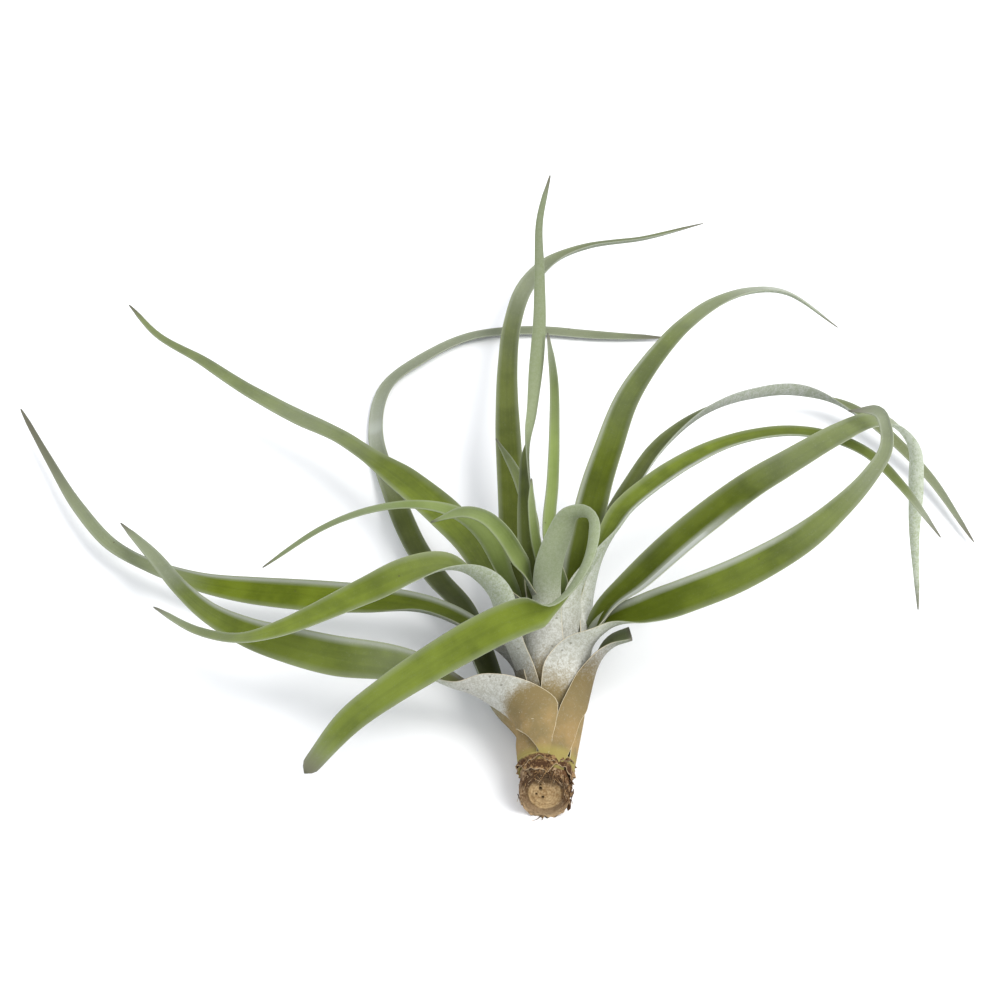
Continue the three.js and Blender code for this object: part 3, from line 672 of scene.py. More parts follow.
            [-8, 90, 11, 8.6, 40, (0.1, -0.1, 1)],
            [-8.8, 113, 13, 8.6, 40, (0.1, -0.2, 1)],
            [-9.6, 134, 14, 8, 40, (0.1, -0.2, 1)],
            [-9.6, 162, 12, 6.6, 42, (0.1, -0.1, 1)],
            [-8, 183, 11, 6, 44, (0.1, 0.2, 1)],
            [-4, 201, 10, 5.8, 46, (0.3, 0.4, 0.9)],
            [5, 215.5, 9, 5.6, 46, (0.2, 0.5, 0.85)],
            [17, 222.5, 9, 5, 46, (0, 0.5, 0.87)],
            [35, 226.5, 9, 3.8, 44, (0, 0.5, 0.87)],
            [54, 233, 10, 1.3, 40, (0, 0.4, 0.9)],
        ],
    },
    {
        "name": "leaf_high_arch",
        "tint": [(0.1, 0.5), (0.3, 0.5), (0.45, 0.7), (1.0, 0.85)],
        "dust": [(0.35, 0.0), (0.5, 0.14), (0.62, 0.18), (0.75, 0.42), (0.87, 0.95)],
        "coat": 0.7, "hemScalesAndSheen": (-1, 0.70, 0.62, 0.5),
        "foot": 43,
        "clasp": [[45, 78, 46], [51, 68, 42]],
        "blade": [
            [9.5, 61, 24, 9, 45, (-0.3, 0.2, 0.6)],
            [12, 74, 30, 10, 42, (0, -0.3, 0.9)],
            [15.3, 90, 33, 9.6, 42, (0.1, -0.3, 0.9)],
            [19.3, 104, 35, 8.8, 42, (0.1, -0.3, 0.9)],
            [25, 121, 38, 7.6, 42, (0.1, -0.2, 0.9)],
            [33, 135.5, 40, 6.6, 42, (0, -0.1, 1)],
            [42.3, 149, 41, 5.8, 42, (0, 0.1, 1)],
            [53, 160, 41, 5.6, 42, (0, 0.3, 0.95)],
            [64, 166.5, 40, 5, 44, (0, 0.45, 0.9)],
            [75, 169, 37, 4.2, 44, (0, 0.5, 0.87)],
            [91, 165, 27, 1.4, 40, (0, 0.4, 0.9)],
        ],
    },
    {
        "name": "leaf_upright_tall",
        "tint": [(0.36, 0.45), (0.46, 1.0), (0.7, 0.8), (0.85, 0.6)],
        "underToneAndShade": [(0.38, 0.5), (0.46, 1.0), (0.7, 0.85), (0.85, 0.72)],
        "dust": [(0.4, 0.05), (1.0, 0.4)],
        "coat": 0.22,
        "foot": 46,
        "clasp": [[48, -96, 46], [54, -92, 42]],
        "blade": [
            [-3, 66, 24, 6.5, 50, (0.3, 0.1, 0.8)],
            [-3.5, 75, 31, 7, 48, (-0.5, -0.3, 0.8)],
            [-4, 95, 42, 6, 45, (-0.96, -0.11, 0.25)],
            [-2.2, 108, 47, 4.6, 45, (-0.76, 0.28, -0.58)],
            [-1, 121, 53, 5, 42, (-0.5, 0.38, -0.78)],
            [0, 134, 59, 4.5, 42, (-0.5, 0.38, -0.78)],
            [0, 148, 65, 3.7, 42, (-0.5, 0.38, -0.78)],
            [0, 163, 71, 2.5, 42, (-0.5, 0.38, -0.78)],
            [3, 178, 76, 1.3, 40, (-0.5, 0.38, -0.78)],
        ],
    },
    {
        "name": "leaf_young_curl", "slot": "young_leaf", "tone": "young",
        "tint": [(0.1, 0.6), (0.4, 0.65), (0.5, 0.75), (0.65, 0.9)],
        "underToneAndShade": [(0.2, 0.5), (0.6, 0.95)],
        "dust": [(0.5, 0.08), (1.0, 0.3)],
        "coat": 0.4,
        "foot": 46,
        "clasp": [[48, -22, 44], [53, -22, 42]],
        "blade": [
            [-4, 53, 34, 5.5, 50, (0.3, 0.3, 0.6)],
            [-7, 57, 41, 5.2, 48, (-0.3, 0, 0.9)],
            [-11, 61, 46, 5, 45, (-0.4, -0.3, 0.8)],
            [-16, 65, 48, 4.2, 45, (-0.2, -0.5, 0.8)],
            [-22, 67, 48, 3.2, 45, (0, -0.6, 0.8)],
            [-31, 66, 45, 1.3, 40, (0, -0.6, 0.8)],
        ],
    },
    {
        "name": "leaf_upright_right", "slot": "young_leaf", "tone": "young",
        "tint": [(0.1, 0.8), (0.3, 0.9), (0.6, 1.0), (0.75, 0.6), (0.85, 0.5)],
        "dust": [(0.4, 0.12), (0.8, 0.12), (1.0, 0.6)],
        "coat": 0.3,
        "foot": 48,
        "clasp": [[50, 60, 44], [55, 60, 40]],
        "blade": [
            [3, 64, 31, 4.6, 48, (0, 0, 1)],
            [2, 73, 36, 4, 45, (0, -0.4, 0.8)],
            [3, 84, 42, 3.6, 45, (0, -0.6, 0.7)],
            [3.6, 99, 48, 3.2, 45, (0, -0.6, 0.7)],
            [3.6, 115, 53, 2.6, 45, (0, -0.6, 0.7)],
            [2, 129, 58, 1.3, 40, (0, -0.6, 0.7)],
        ],
    },
    {
        "name": "spike_left", "slot": "young_leaf",
        "tint": [(0.3, 0.6), (0.7, 0.75)],
        "underToneAndShade": [(0.3, 0.7), (0.7, 0.85)],
        "dust": [(0.5, 0.05), (1.0, 0.3)],
        "coat": 0.1,
        "foot": 50,
        "clasp": [[52, -160, 42], [56, -158, 38]],
        "blade": [
            [-2, 72, 18, 4.6, 45, (0, 0, 1)],
            [-3, 86, 25, 4.4, 45, (0, -0.4, 0.9)],
            [-7, 99, 30, 3.2, 45, (0, -0.4, 0.9)],
            [-13, 109, 35, 1.3, 40, (0, -0.4, 0.9)],
        ],
    },
    {
        "name": "spike_right", "slot": "young_leaf", "tone": "young",
        "tint": [(0.3, 0.6), (0.7, 0.75)],
        "underToneAndShade": [(0.3, 0.7), (0.7, 0.85)],
        "dust": [(0.5, 0.05), (1.0, 0.3)],
        "coat": 0.1,
        "foot": 51,
        "clasp": [[53, -10, 42], [56, -10, 38]],
        "blade": [
            [0, 58, 33, 3.4, 45, (0, 0.1, 0.9)],
            [-2, 65, 40, 3, 45, (0, -0.5, 0.7)],
            [-3, 73, 45, 2.2, 45, (0, -0.5, 0.7)],
            [-3, 80, 48, 1.2, 40, (0, -0.5, 0.7)],
        ],
    },
]
leaves = [{**leafDefaults, **entry} for entry in leafEntries]


def claspRow(leaf, along, angle, spread):
    radius = stemRadius(leaf["foot"]) + leafShape["footStandoff"] + leaf["flare"] * (along - leaf["foot"])
    return {
        "at": aroundStem(along, angle, radius),
        "width": 2 * radius * math.radians(spread),
        "curl": spread,
        "face": -radialAt(angle),
    }


def bladeRow(x, y, z, width, curl, face):
    return {"at": Vector((x, y, z)), "width": width, "curl": curl, "face": Vector(face).normalized()}


def hermite(a, b, leave, arrive, t):
    return (a + leave * t + (b * 3 - a * 3 - leave * 2 - arrive) * t * t
            + (a * 2 - b * 2 + leave + arrive) * t * t * t)


def curvePoint(points, place):
    k = min(len(points) - 2, int(place))
    b, c = points[k], points[k + 1]
    a = points[k - 1] if k > 0 else b * 2 - c
    d = points[k + 2] if k + 2 < len(points) else c * 2 - b
    gaps = [max(1e-6, (q - p).length ** 0.5) for p, q in ((a, b), (b, c), (c, d))]
    leave = (b - a) / gaps[0] - (c - a) / (gaps[0] + gaps[1]) + (c - b) / gaps[1]
    arrive = (c - b) / gaps[1] - (d - b) / (gaps[1] + gaps[2]) + (d - c) / gaps[2]
    return hermite(b, c, leave * gaps[1], arrive * gaps[1], place - k)


def smoothValue(values, place):
    k = min(len(values) - 2, int(place))
    b, c = values[k], values[k + 1]
    a = values[max(0, k - 1)]
    d = values[min(len(values) - 1, k + 2)]
    return hermite(b, c, (c - a) * 0.5, (d - b) * 0.5, place - k)


# a smooth curve through a leaf's rows, by length
class Route:
    def __init__(self, rows):
        self.points = [row["at"] for row in rows]
        self.count = leafShape["marksPerRow"] * (len(rows) - 1)
        self.marks = [0.0]
        before = self.points[0]
        for i in range(1, self.count + 1):
            point = curvePoint(self.points, i * (len(rows) - 1) / self.count)
            self.marks.append(self.marks[-1] + (point - before).length)
            before = point
        self.length = self.marks[-1]

    def placeAt(self, length):
        goal = min(self.length, max(0.0, length))
        low, high = 0, self.count
        while high - low > 1:
            middle = (low + high) // 2
            if self.marks[middle] <= goal:
                low = middle
            else:
                high = middle
        step = (goal - self.marks[low]) / max(1e-9, self.marks[high] - self.marks[low])
        return (low + step) * (len(self.points) - 1) / self.count

    def pointAt(self, length):
        return curvePoint(self.points, self.placeAt(length))


def leafStations(leaf, seed):
    clasp = leaf["clasp"]
    if clasp[0][0] < leafShape["outerBelow"]:
        clasp = [[clasp[0][0] - leafShape["footDrop"], *clasp[0][1:]]] + clasp
    rows = [claspRow(leaf, *row) for row in clasp] + [bladeRow(*row) for row in leaf["blade"]]
    route = Route(rows)
    steps = math.ceil(route.length / leafShape["stationStep"])
    claspCount = len(clasp)
    leavesStem = (claspCount - 1.2, claspCount + 1.0)
    sheathEnd = leaf["sheathEnd"] or leavesStem
    widths = [row["width"] for row in rows]
    curls = [row["curl"] for row in rows]
    faces = [row["face"] for row in rows]
    stations = []
    for i in range(steps + 1):
        length = route.length * i / steps
        place = route.placeAt(length)
        width = smoothValue(widths, place)
        if leaf["end"] == "point":
            left = max(0.0, (route.length - length) / leaf["tipLength"])
            if left < 1:
                width = lerp(leafShape["tipWidth"], width, left ** leafShape["tipRound"])
        reach = max(leafShape["leastReach"], width * leafShape["turnReach"])
        along = (route.pointAt(length + reach) - route.pointAt(length - reach)).normalized()
        face = smoothValue(faces, place)
        drift = noise.noise(Vector((length * leafShape["twistRate"], seed * 7.3, 1.7)))
        swell = noise.noise(Vector((length * leafShape["swellRate"], seed * 3.1, 9.2)))
        free = ease(place, claspCount - 1, claspCount + 1)
        face = face + along.cross(face) * math.radians(leafShape["twist"]) * drift * free
        stations.append({
            "at": route.pointAt(length),
            "along": along,
            "width": width * (1 + leafShape["swell"] * swell * free),
            "curl": smoothValue(curls, place),
            "face": face,
            "length": length,
            "share": length / route.length,
            "sheath": 1 - ease(place, *leavesStem),
            "husk": 1 - ease(place, *sheathEnd),
        })
    return stations


def leafSection(station, seed):
    # points across the leaf, on its upper then its under side
    along = station["along"]
    face = (station["face"] - along * station["face"].dot(along)).normalized()
    across = along.cross(face)
    half = math.radians(station["curl"])
    radius = station["width"] / (2 * half)
    middle = lerp(leafShape["midThickness"], leafShape["sheathThickness"], station["sheath"])
    middle *= min(1.0, 0.3 + station["width"] / 8)
    columns = leafShape["columns"]
    upperSide, underSide = [], []
    for j in range(columns + 1):
        s = math.sin((j / columns - 0.5) * math.pi)
        rippling = noise.noise(Vector((station["length"] * leafShape["waveRate"], s * 1.5 + seed, 4.4)))
        ripple = leafShape["wave"] * rippling * s * s * min(1.0, station["width"] / leafShape["fullWave"])
        rim = min(leafShape["marginThickness"], middle * 0.8)
        thick = lerp(middle, rim, s * s) / 2
        for side, out in ((1, upperSide), (-1, underSide)):
            r = radius - side * thick
            point = station["at"] + face * (radius + ripple)
            point = point - face * (r * math.cos(half * s)) + across * (r * math.sin(half * s))
            out.append((point, s))
    return upperSide, underSide


def setAttribute(mesh, name, kind, values):
    layer = mesh.attributes.new(name, kind, "POINT")
    if kind == "FLOAT":
        layer.data.foreach_set("value", values)
    else:
        layer.data.foreach_set("vector", [number for value in values for number in value])


def profileAt(points, share):
    # eased value between listed (share of the length, value) pairs
    before = points[0]
    for after in points:
        if share <= after[0]:
            if after is before:
                return after[1]
            return lerp(before[1], after[1], ease(share, before[0], after[0]))
        before = after
    return before[1]


def dustOf(leaf, station, s):
    # silver scales along the leaf, and along one margin a pale hem that is partly silver scales and partly
    # painted sheen
    amount = profileAt(leaf["dust"], station["share"])
    if leaf["hemScalesAndSheen"]:
        side, until, inner, strength = leaf["hemScalesAndSheen"]
        hem = ease(side * s, inner, inner + leafShape["hemSoft"])
        hem *= 1 - ease(station["share"], until - leafShape["hemFade"], until)
        amount = max(amount, hem * strength)
    return amount


def leafMesh(leaf, seed):
    stations = leafStations(leaf, seed)
    columns = leafShape["columns"]
    vertices, faces = [], []
    keys = ("across", "upper", "sheath", "rise", "grain", "tint", "dust", "tip", "silverFrom")
    data = {key: [] for key in keys}
    tones = (leaf["tint"], leaf["underToneAndShade"])
    for station in stations:
        for upper, tone, row in zip((1.0, 0.0), tones, leafSection(station, seed)):
            tint = profileAt(tone, station["share"])
            for point, s in row if upper else reversed(row):
                point.z = max(point.z, leafShape["floorGap"])
                vertices.append(point * mm)
                data["across"].append(s)
                data["upper"].append(upper)
                data["sheath"].append(station["husk"])
                data["rise"].append(riseOf(point))
                data["grain"].append((s * station["width"] / 2, station["length"], seed * 5))
                data["tint"].append(tint)
                data["dust"].append(dustOf(leaf, station, s))
                data["silverFrom"].append(profileAt(leaf["silverFrom"], station["share"]))
                data["tip"].append(ease(station["share"], leaf["dryFrom"], 1.0))
    data["coat"] = [leaf["coat"]] * len(vertices)
    count = 2 * (columns + 1)
    for i in range(len(stations) - 1):
        for j in range(count):
            a, b = i * count + j, i * count + (j + 1) % count
            faces.append((a, b, b + count, a + count))
    last = (len(stations) - 1) * count
    for j in range(columns):
        a, b = j, j + 1
        c, d = count - 1 - j, count - 2 - j
        faces.append((a, c, d, b))
        faces.append((last + a, last + b, last + d, last + c))
    return vertices, faces, data


def addPiece(name, vertices, faces, data, material, slot, replaced=None):
    mesh = bpy.data.meshes.new(name)
    mesh.from_pydata(vertices, [], faces)
    for key, values in data.items():
        setAttribute(mesh, key, "FLOAT_VECTOR" if key == "grain" else "FLOAT", values)
    mesh.shade_smooth()
    mesh.materials.append(material)
    piece = bpy.data.objects.new(name, mesh)
    bpy.context.collection.objects.link(piece)
    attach(piece, "root")
    if replaced:
        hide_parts(replaced)


firstSeed, seedStep = leafShape["seed"]
for leafIndex, leaf in enumerate(leaves):
    parts = leafMesh(leaf, firstSeed + leafIndex * seedStep)
    addPiece(leaf["name"] + "_look", *parts, leafMaterials[leaf["tone"]], leaf["slot"], leaf["name"])
print("leaves made:", len(leaves))

# shares run from the middle of the cut to its rim; a hole is (share, angle, size)
stump = {
    "around": 128,
    "rings": 34,
    "bodyEnd": 30.0,
    "bodySteps": 26,
    "faceShare": 0.70,
    "faceDepth": 1.2,
    "ringCount": 5,
    "ringHeight": 0.10,
    "rimRough": 1.3,
    "rimGuess": 3.0,
    "rimSteps": 6,
    "rimSink": 0.25,
    "edgeWobble": 0.07,
    "edgeSoft": 0.08,
    "grit": 0.22,
    "lumps": 0.32,
    "ridges": 0.22,
    "holeDrop": 1.1,
    "holes": [(0.20, 205, 0.050), (0.26, 318, 0.065), (0.40, 332, 0.045), (0.34, 262, 0.040)],
    "coarse": 260,
    "fine": 1500,
    "bump": 0.7,
    "bumpHeight": 0.0004,
}

stumpColours = {
    "pith": (0.480, 0.345, 0.180),
    "pithDark": (0.230, 0.138, 0.055),
    # painted shade for the crevice, the holes and under the collar
    "hollowShade": (0.050, 0.026, 0.0115),
    "bark": (0.083, 0.037, 0.0130),
    "barkPale": (0.390, 0.280, 0.165),
    "fresh": (0.288, 0.252, 0.068),
    "gold": (0.216, 0.155, 0.061),
}


def rimAlong(angle):
    # where the cut plane meets the stem's side, closing in step by step
    along = stump["rimGuess"]
    normal = stem["cutNormal"]
    for step in range(stump["rimSteps"]):
        reach = stem["cutPoint"] - stem["start"] - radialAt(angle) * stemRadius(along)
        along = reach.dot(normal) / stem["axis"].dot(normal)
    return along


def holeDepth(share, turn):
    here = Vector((math.cos(turn), math.sin(turn))) * share
    depth = 0.0
    for reach, side, size in stump["holes"]:
        hole = Vector((math.cos(math.radians(side)), math.sin(math.radians(side)))) * reach
        depth = max(depth, 1 - ease((hole - here).length, size * 0.5, size * 1.4))
    return depth


def cutHeight(share, turn, point):
    # how far the cut face stands out of its plane: a sunken ringed disc in a torn rim
    wobble = noise.noise(Vector((math.cos(turn) * 1.4, math.sin(turn) * 1.4, 3.0)))
    edge = stump["faceShare"] + stump["edgeWobble"] * wobble
    rim = ease(share, edge, edge + stump["edgeSoft"])
    rings = math.sin((share + wobble * 0.05) * stump["ringCount"] * math.tau) * stump["ringHeight"]
    torn = abs(noise.noise(Vector((math.cos(turn) * 4, math.sin(turn) * 4, share * 9)))) * stump["rimRough"]
    height = rings - stump["faceDepth"] + rim * (stump["faceDepth"] + torn - stump["rimSink"])
    height += stump["grit"] * noise.noise(point * 1.3)
    return height - stump["holeDrop"] * holeDepth(share, turn)


def makeStump():
    around, rings = stump["around"], stump["rings"]
    normal, axis = stem["cutNormal"], stem["axis"]
    offset = (stem["cutPoint"] - stem["start"]).dot(normal) / axis.dot(normal)
    centre = stem["start"] + axis * offset
    rim = [rimAlong(360 * j / around) for j in range(around)]
    vertices = [centre - normal * stump["faceDepth"]]
    data = {"share": [0.0], "side": [0.0], "hole": [0.0]}
    for k in range(1, rings + 1):
        share = k / rings
        for j in range(around):
            angle = 360 * j / around
            turn = math.radians(angle)
            point = centre.lerp(aroundStem(rim[j], angle, stemRadius(rim[j])), share)
            vertices.append(point + normal * cutHeight(share, turn, point))
            data["share"].append(share)
            data["side"].append(0.0)
            data["hole"].append(holeDepth(share, turn))
    for k in range(1, stump["bodySteps"] + 1):
        share = k / stump["bodySteps"]
        for j in range(around):
            angle = 360 * j / around
            turn = math.radians(angle)
            along = lerp(rim[j], stump["bodyEnd"], share ** 1.3)
            lump = noise.noise(Vector((math.cos(turn) * 2.2, math.sin(turn) * 2.2, along * 0.35)))
            ridge = noise.noise(Vector((math.cos(turn) * 9, math.sin(turn) * 9, along * 0.10)))
            radius = stemRadius(along) + stump["lumps"] * lump + stump["ridges"] * ridge
            vertices.append(aroundStem(along, angle, radius))
            data["share"].append(1 + share)
            data["side"].append(1.0)
            data["hole"].append(0.0)
    for point in vertices:
        point.z = max(point.z, 0.0)
    faces = [(0, 1 + (j + 1) % around, 1 + j) for j in range(around)]
    for k in range(rings + stump["bodySteps"] - 1):
        for j in range(around):
            a, b = 1 + k * around + j, 1 + k * around + (j + 1) % around
            faces.append((a, b, b + around, a + around))
    faces.append(tuple(range(len(vertices) - around, len(vertices))))
    data["rise"] = [riseOf(point) for point in vertices]
    addPiece("stump_look", [p * mm for p in vertices], faces, data, makeStumpFinish(), "stem", "stem")


def makeStumpFinish():
    f = Finish("stump")
    share = f.attribute("share")
    side = f.attribute("side")
    hole = f.attribute("hole")
    rise = f.attribute("rise")
    place = f.add("ShaderNodeTexCoord", {}, {}, "Object")
    coarse = f.noise(place, stump["coarse"], 4, 0.6)
    fine = f.noise(place, stump["fine"], 3, 0.6)
    rough = coarse * 0.6 + fine * 0.4
    bands = f.add("ShaderNodeMath", {"operation": "SINE"}, {0: share * 62 + coarse * 7})
    pith = f.mix(f.step(rough, 0.34, 0.60), stumpColours["pithDark"], stumpColours["pith"])
    pith = f.mix(f.step(bands, 0.35, 0.95) * 0.45, pith, stumpColours["pithDark"])
    bark = f.mix(f.step(rough, 0.42, 0.64), stumpColours["bark"], stumpColours["barkPale"])
    height = f.add("ShaderNodeSeparateXYZ", {}, {"Vector": place}, "Z")  # metres over the table
    bark = f.mix((1 - f.step(height, 0.0015, 0.007)) * 0.8, bark, stumpColours["barkPale"])
    # the cut: pale pith inside a torn rim, with painted shade in the crevice between them, in the holes and
    # under the collar
    ring = f.step(share + (coarse - 0.5) * 0.2, 0.62, 0.74)
    cut = f.mix(ring * 0.85, pith, bark)
    creviceShade = f.step(share, 0.60, 0.70) * (1 - f.step(share, 0.78, 0.92))
    cut = f.mix(creviceShade * 0.4, cut, stumpColours["hollowShade"])
    shaded = f.step(height + (coarse - 0.5) * 0.004, 0.0080, 0.0102)
    cut = f.mix(shaded * 0.8, cut, stumpColours["hollowShade"])
    cut = f.mix(hole, cut, stumpColours["hollowShade"])
    skin = f.mix(f.step(rise + (coarse - 0.5) * 4, 11.5, 13.5), bark, stumpColours["fresh"])
    skin = f.mix(f.step(rise, 15.5, 18.0), skin, stumpColours["gold"])
    colour = f.mix(side, cut, skin)
    normal = f.bump(fine * 0.6 + coarse, stump["bump"], stump["bumpHeight"])
    return f.finish(colour, 0.85, normal, **{"Specular IOR Level": 0.2})


makeStump()
print("stump made")

# torn papery sheath ends that hang round the stump's neck
collar = {
    "around": 160,
    "steps": 8,
    "thickness": 0.2,
    "tear": (0.95, 0.35),
    "fold": (1.1, 0.6),
    "sink": 0.1,
    "coarse": 380,
    "fine": 1700,
    "bump": 0.6,
    "bumpHeight": 0.0004,
    "layers": [
        {"name": "collar_inner", "from": 14.2, "lift": 0.50, "curl": 0.7, "length": (1.8, 5.0), "seed": 3},
        {"name": "collar_outer", "from": 14.8, "lift": 0.80, "curl": 1.0, "length": (0.8, 3.2), "seed": 8},
    ],
    "damp": (0.302, 0.252, 0.079),
    "dry": (0.262, 0.160, 0.070),
    "dark": (0.050, 0.022, 0.0080),
    "tornEdge": (0.500, 0.380, 0.240),
}


def makePaperFinish():
    f = Finish("dry paper")
    place = f.add("ShaderNodeTexCoord", {}, {}, "Object")
    reach = f.attribute("share")
    coarse = f.noise(place, collar["coarse"], 4, 0.6)
    fine = f.noise(place, collar["fine"], 2, 0.6)
    dry = f.mix(f.step(coarse * 0.6 + fine * 0.4, 0.45, 0.60), collar["dark"], collar["dry"])
    colour = f.mix(f.step(reach, 0.02, 0.40), collar["damp"], dry)
    colour = f.mix(f.step(reach, 0.90, 1.0) * 0.7, colour, collar["tornEdge"])
    normal = f.bump(coarse + fine * 0.5, collar["bump"], collar["bumpHeight"])
    return f.finish(colour, 0.85, normal, **{"Specular IOR Level": 0.2})


paper = makePaperFinish()


def collarPoint(layer, angle, share, outer):
    low, high = layer["length"]
    wideTear, fineTear = collar["tear"]
    wideFold, fineFold = collar["fold"]
    turn = math.radians(angle)
    ringAt = Vector((math.cos(turn), math.sin(turn), layer["seed"]))
    tear = 0.5 + wideTear * noise.noise(ringAt * 1.4) + fineTear * noise.noise(ringAt * 5.5)
    length = lerp(low, high, min(1.2, max(0.0, tear)))
    along = layer["from"] - length * share
    fold = wideFold * noise.noise(ringAt * 4.2) + fineFold * noise.noise(ringAt * 10.0)
    radius = stemRadius(along) + layer["lift"]
    radius += layer["curl"] * (0.3 + fold) * share * share + 0.2 * fold * share
    radius = max(radius, stemRadius(along) - collar["sink"]) + outer * collar["thickness"]
    point = aroundStem(along, angle, radius)
    point.z = max(point.z, 0.05)
    return point * mm


def makeCollar(layer):
    around, steps = collar["around"], collar["steps"]
    vertices, faces, shares = [], [], []
    for outer in (0, 1):
        for k in range(steps + 1):
            for j in range(around):
                vertices.append(collarPoint(layer, 360 * j / around, k / steps, outer))
                shares.append(k / steps)
    block = (steps + 1) * around
    for k in range(steps):
        for j in range(around):
            a, b = k * around + j, k * around + (j + 1) % around
            faces.append((a, b, b + around, a + around))
            a, b = a + block, b + block
            faces.append((a, a + around, b + around, b))
    for j in range(around):
        b = (j + 1) % around
        faces.append((j, j + block, b + block, b))
        a, b = steps * around + j, steps * around + b
        faces.append((a, b, b + block, a + block))
    addPiece(layer["name"], vertices, faces, {"share": shares}, paper, "stem")


for collarLayer in collar["layers"]:
    makeCollar(collarLayer)
print("collar made")

# dry threads that hang from the torn rim over the cut, and flakes at its right side
fibres = {
    "seed": 21,
    "count": 44,
    "steps": 9,
    "sides": 5,
    "radius": (0.08, 0.20),
    "length": (2.4, 6.5),
    "sag": 1.5,
    "topShare": 0.7,
    "topAngle": (4, 38),
    "behindRim": (0.4, 2.2),
    "standoff": 0.55,
    "thinning": 0.7,
    "flakes": 9,
    "flakeAngle": (62, 118),
    "flakeBehind": (0.0, 2.6),
    "flakeOut": (0.1, 0.9),
    "flakeThickness": 0.14,
    "flakeOutline": [(-1, -0.7), (0.1, -1), (1, -0.3), (0.8, 0.8), (-0.2, 1), (-1, 0.6)],
}


def threadPath(rng):
    onTop = rng.random() < fibres["topShare"]
    angle = rng.gauss(*fibres["topAngle"]) if onTop else rng.uniform(-180, 180)
    along = rimAlong(angle) + rng.uniform(*fibres["behindRim"])
    start = aroundStem(along, angle, stemRadius(6) + fibres["standoff"])
    inward = (stem["start"] - start).normalized()
    sideways = radialAt(angle).cross(stem["axis"]) * rng.uniform(-0.9, 0.9)
    heading = (stem["cutNormal"] * rng.uniform(0.25, 0.75) + inward * rng.uniform(0.3, 0.9) + sideways)
    length = rng.uniform(*fibres["length"])
    bend = Vector((rng.uniform(-1, 1), rng.uniform(-0.4, 0.4), rng.uniform(-1, 0.2))) * fibres["sag"]
    points = []
    for k in range(fibres["steps"] + 1):
        t = k / fibres["steps"]
        point = start + heading.normalized() * length * t + bend * t * t
        point.z = max(point.z, 0.3)
        points.append(point)
    return points, rng.uniform(*fibres["radius"])


def addTube(path, radius, vertices, faces, shares):
    sides = fibres["sides"]
    first = len(vertices)
    for k, point in enumerate(path):
        along = (path[min(k + 1, len(path) - 1)] - path[max(k - 1, 0)]).normalized()
        out = along.orthogonal().normalized()
        up = along.cross(out)
        share = k / (len(path) - 1)
        thin = radius * (1 - fibres["thinning"] * share)
        for i in range(sides):
            turn = math.tau * i / sides
            vertices.append((point + (out * math.cos(turn) + up * math.sin(turn)) * thin) * mm)
            shares.append(0.6 + 0.4 * share)
    for k in range(len(path) - 1):
        for i in range(sides):
            a, b = first + k * sides + i, first + k * sides + (i + 1) % sides
            faces.append((a, b, b + sides, a + sides))
    faces.append(tuple(range(first + sides - 1, first - 1, -1)))
    faces.append(tuple(range(len(vertices) - sides, len(vertices))))


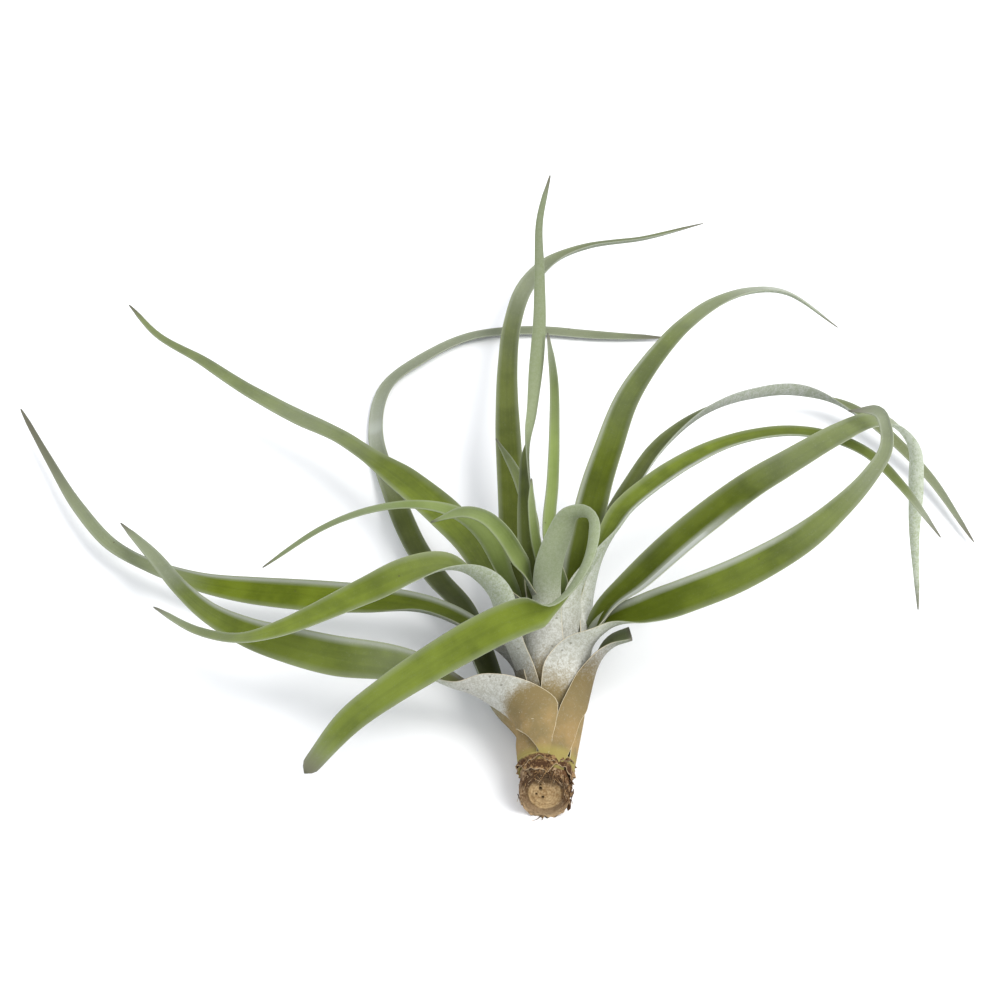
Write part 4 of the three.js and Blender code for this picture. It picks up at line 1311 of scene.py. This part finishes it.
def addFlake(rng, vertices, faces, shares):
    # a small chip of bark, standing off the right side of the stump
    outline = fibres["flakeOutline"]
    corners = len(outline)
    angle = rng.uniform(*fibres["flakeAngle"])
    along = rimAlong(angle) + rng.uniform(*fibres["flakeBehind"])
    centre = aroundStem(along, angle, stemRadius(along) + rng.uniform(*fibres["flakeOut"]))
    long = (stem["axis"] + radialAt(angle) * rng.uniform(-0.6, 0.9)).normalized() * rng.uniform(0.7, 1.5)
    wide = radialAt(angle + 90) * rng.uniform(0.5, 1.1)
    thick = long.cross(wide).normalized() * fibres["flakeThickness"]
    first = len(vertices)
    for side in (-1, 1):
        for u, v in outline:
            point = centre + long * u * rng.uniform(0.8, 1.1) + wide * v + thick * side
            point.z = max(point.z, 0.1)
            vertices.append(point * mm)
            shares.append(rng.uniform(0.35, 0.8))
    faces.append(tuple(first + i for i in reversed(range(corners))))
    faces.append(tuple(first + corners + i for i in range(corners)))
    for i in range(corners):
        a, b = first + i, first + (i + 1) % corners
        faces.append((a, b, b + corners, a + corners))


def makeFibres():
    rng = random.Random(fibres["seed"])
    vertices, faces, shares = [], [], []
    for thread in range(fibres["count"]):
        path, radius = threadPath(rng)
        addTube(path, radius, vertices, faces, shares)
    for flake in range(fibres["flakes"]):
        addFlake(rng, vertices, faces, shares)
    addPiece("stump_fibres", vertices, faces, {"share": shares}, paper, "stem")


makeFibres()
print("fibres made")

stage = {
    "floorSize": 6.0,
    "floorColour": (0.86, 0.865, 0.88),
    "world": (0.955, 0.97, 1.0),
    "worldStrength": 1.15,
    "keyFrom": (0.8, -0.15, 1.25),
    "keyAt": (0.0, 0.09, 0.0),
    "keySize": 0.9,
    "keyPower": 19.0,
    "keyColour": (1.0, 0.985, 0.955),
}


def makeStage():
    half = stage["floorSize"] / 2
    corners = [(-half, -half, 0), (half, -half, 0), (half, half, 0), (-half, half, 0)]
    mesh = bpy.data.meshes.new("table_top")
    mesh.from_pydata(corners, [], [(0, 1, 2, 3)])
    f = Finish("white table")
    mesh.materials.append(f.finish(stage["floorColour"], 0.9, None, **{"Specular IOR Level": 0.1}))
    table = bpy.data.objects.new("table_top", mesh)
    bpy.context.collection.objects.link(table)

    world = bpy.data.worlds.new("studio")
    world.use_nodes = True
    sky = world.node_tree.nodes["Background"]
    sky.inputs["Color"].default_value = (*stage["world"], 1)
    sky.inputs["Strength"].default_value = stage["worldStrength"]
    bpy.context.scene.world = world

    light = bpy.data.lights.new("key", "AREA")
    light.shape = "DISK"
    light.size = stage["keySize"]
    light.energy = stage["keyPower"]
    light.color = stage["keyColour"]
    key = bpy.data.objects.new("key", light)
    key.location = stage["keyFrom"]
    away = Vector(stage["keyAt"]) - Vector(stage["keyFrom"])
    key.rotation_mode = "QUATERNION"
    key.rotation_quaternion = away.to_track_quat("-Z", "Y")
    bpy.context.collection.objects.link(key)
    bpy.context.scene.view_settings.view_transform = "Standard"


makeStage()
print("stage set")
